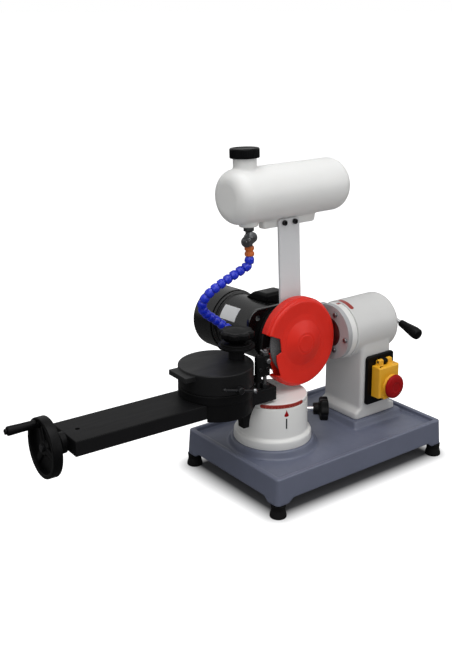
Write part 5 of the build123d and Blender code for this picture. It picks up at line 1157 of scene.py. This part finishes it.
def guardCover():
    # Patches of the profile between two lengths along it, each carried over its own span of angles
    corners = np.array(guard["notch"], float)
    turn = np.arctan2(corners[:, 1], corners[:, 0]) % (2 * math.pi)
    line = eased(guard["profile"], 9)
    walked = walkedAlong(line)
    fine = np.linspace(0, walked[-1], guard["fine"])
    depth, out = np.interp(fine, walked, line[:, 0]), np.interp(fine, walked, line[:, 1])
    rise, rim = np.maximum.accumulate(out), out.max()

    def walkTo(reach):
        # Length of profile from the middle out to each reach, all of it where the reach is past the rim
        return np.where(reach < rim, fine[np.searchsorted(rise, np.minimum(reach, rim))], fine[-1])

    def patch(angle, first, last, rows):
        place = first + np.linspace(0, 1, rows)[:, None] * (last - first)
        return around("y", wheelAxis, np.interp(place, fine, depth), np.interp(place, fine, out), angle)

    toe = walkTo(np.linalg.norm(corners[-1]))
    whole = np.linspace(turn[-1], turn[0] + 2 * math.pi, guard["columns"])
    middle = np.linspace(toe, fine[-1], guard["columns"])
    grids = [patch(whole, 0, middle, guard["rows"]), patch(whole, middle, fine[-1], guard["lipRows"])]
    for k in range(len(corners) - 1):
        angle = np.linspace(turn[k], turn[k + 1], guard["sideColumns"])
        grids.append(patch(angle, 0, walkTo(rayReach(angle, corners[k], corners[k + 1])), guard["rows"]))
    under = np.linspace(turn[-1] - guard["lipTurn"], turn[-1], guard["lipSteps"])
    under = under[rayReach(under, corners[-1], guard["lipEnd"]) < rim]
    angle = np.linspace(under[0], turn[-1], guard["sideColumns"])
    edge = walkTo(rayReach(angle, corners[-1], guard["lipEnd"]))
    grids.append(patch(angle, edge, fine[-1], guard["lipRows"]))
    thing = piece("guardCover", grids, headPlace, "guardRed", "guard_cover", closed=False, sharp=60)
    wall = thing.modifiers.new("wall", "SOLIDIFY")
    wall.thickness = guard["wall"] / 1000
    wall.offset = -1.0
    if sum(face.normal.y * face.area for face in thing.data.polygons) > 0:
        thing.data.flip_normals()


guardCover()
softened("guardBack", "guard_back", "guardRed", guard["backEdge"])
print("guard done")

# Coolant tank, cap, valve and hose fitting
tank = {
    "cell": 1.8, "passes": 6, "capRound": 1.6, "capBore": 21.0, "capDeep": 14.0, "capLip": 5.5,
    "capDish": 6.8, "dishDeep": 1.0, "footEase": 0.6, "footRise": 1.6, "topEase": 1.2, "topDrop": 2.2,
    "ribs": 52, "ribDepth": 0.024, "ribWidth": 0.6, "ribFrom": 0.02,
}
valve = {
    "nut": 8.0, "nutHigh": 8.0, "nutSink": 1.0, "neck": 6.0, "ball": 9.4, "wingHalf": 6.0, "wingRound": 9.6,
    "wingAngle": 40.0, "wingThick": 4.0, "wingEdge": 0.6, "wingEase": 0.94, "stem": 3.0, "stemFrom": 4.0,
    "stemSink": 0.5, "rivet": 1.5, "rivetAt": 1.05, "rivetSink": 0.2, "rivetHigh": 0.7, "screw": 3.0,
    "screwHigh": 1.2, "screwThick": 1.4,
}
fitting = {
    "ease": 1.0,
    "rings": (  # share of the height from the top, depth under the rings' width, round
        (0.12, 0, 0.8), (0.36, 0, 0.8), (0.44, 1.7, 0.6), (0.58, 1.7, 0.6), (0.66, 0, 0.8), (0.94, 0, 0.8),
    ),
}


def coolantTank():
    # Cap: a hollow profile round its axis, whose widest rows dip between fine ribs
    cast("tankShell", ["coolant_tank", "filler_neck"], "tankWhite", tank["cell"], tank["passes"])
    low, high = span("tank_cap", headPlace)
    wide = (high[0] - low[0]) / 2
    foot, top, inside, dish = low[2], high[2], low[2] + tank["capDeep"], high[2] - tank["dishDeep"]
    rows = eased([
        (inside, 0), (inside, tank["capBore"]), (foot, tank["capBore"]), (foot, wide - tank["footEase"], 0.8),
        (foot + tank["footRise"], wide, 0.6), (top - tank["topDrop"], wide, 0.8),
        (top, wide - tank["topEase"], tank["capRound"]), (top, wide - tank["capLip"], 0.8),
        (dish, wide - tank["capDish"], 0.8), (dish, 0),
    ])
    ribbed = lobed(tank["ribs"], tank["ribDepth"], tank["ribWidth"], wide - tank["ribFrom"])
    cap = turned("z", ((low + high) / 2)[:2], rows, 480, ribbed)
    piece("tankCap", [cap], headPlace, "blackPlastic", "tank_cap", sharp=45)


def coolantValve():
    # Nut: a bar with six flats. Neck: straight, an arc for the ball, straight, round one axis
    low, high = span("valve_body", headPlace)
    axis = ((low + high) / 2)[:2]
    ballZ = jointIn("valve_turn", headPlace)[2]
    nutLow = high[2] - valve["nutHigh"]
    neckTop = nutLow + valve["nutSink"]
    nut = rodLine(nutLow, high[2], valve["nut"], 0.8, 0.6)
    lean = math.acos(valve["neck"] / valve["ball"])
    swing = np.linspace(-lean, lean, 15)
    ball = np.stack([ballZ + valve["ball"] * np.sin(swing), valve["ball"] * np.cos(swing)], 1)
    neck = np.concatenate([
        [(low[2], 0), (low[2], valve["neck"])], ball, [(neckTop, valve["neck"]), (neckTop, 0)],
    ])
    grids = [turned("z", axis, nut, 72, hexed), turned("z", axis, neck, 56)]
    piece("valveBody", grids, headPlace, "valveGrey", "valve_body", sharp=40)


def valveWing():
    # Plate: rows in shares of the wing's outline round the valve's axis, on a plain round stem
    front = span("valve_handle", valvePlace)[1][0]
    back = front - valve["wingThick"]
    long, wide, edge, ease = (valve[key] for key in ("wingHalf", "wingRound", "wingEdge", "wingEase"))
    turn = math.radians(valve["wingAngle"])

    def wing(out, angle):
        # Outline of a bar with two round ends, as a distance along each angle, times the row's share
        across, along = np.abs(np.sin(angle - turn)), np.abs(np.cos(angle - turn))
        side = wide / np.maximum(across, 1e-6)
        tip = long * along + np.sqrt(np.maximum(wide ** 2 - (long * across) ** 2, 0))
        return out * np.where(side * along <= long, side, tip)

    plate = np.array([
        (back, 0), (back, ease), (back + edge, 1.0), (front - edge, 1.0), (front, ease), (front, 0),
    ])
    stem = rodLine(valve["stemFrom"], back + valve["stemSink"], valve["stem"])
    grids = [turned("x", (0, 0), plate, 96, wing), turned("x", (0, 0), stem, 28)]
    piece("valveWing", grids, valvePlace, "valveGrey", "valve_handle", sharp=40)
    rivets = [socketScrew("x", (0, 0), front + valve["screwHigh"], valve["screw"], valve["screwThick"], 1)]
    dome = rodLine(front - valve["rivetSink"], front + valve["rivetHigh"], valve["rivet"], 0, 0.6)
    for reach in (-long * valve["rivetAt"], long * valve["rivetAt"]):
        rivets.append(turned("x", (reach * math.cos(turn), reach * math.sin(turn)), dome, 24))
    piece("wingRivets", rivets, valvePlace, "screwSteel", body="valve_handle")


def hoseFitting():
    # Rings and a groove in one profile, carried round the fitting's axis
    low, high = span("hose_fitting", headPlace)
    foot, top = low[2], high[2]
    wide = (high[0] - low[0]) / 2
    end = wide - fitting["ease"]
    rings = [(top - share * (top - foot), wide - deep, soft) for share, deep, soft in fitting["rings"]]
    rows = eased([(top, 0), (top, end, 1.0), *rings, (foot, end), (foot, 0)])
    body = turned("z", ((low + high) / 2)[:2], rows, 64)
    piece("hoseFitting", [body], headPlace, "fittingOrange", "hose_fitting", sharp=60)


coolantTank()
coolantValve()
valveWing()
hoseFitting()
print("tank done")

# Nodes that keep their own shape take their finish from the record's slot
slotOfNode = {part["node"]: part["material_slot"] for part in frame["record"]["subparts"]}
for node, thing in nodes.items():
    thing.data.materials.clear()
    thing.data.materials.append(finishes[finishBySlot[slotOfNode[node]]])
print("plain nodes:", sum(not thing.hide_render for thing in nodes.values()))
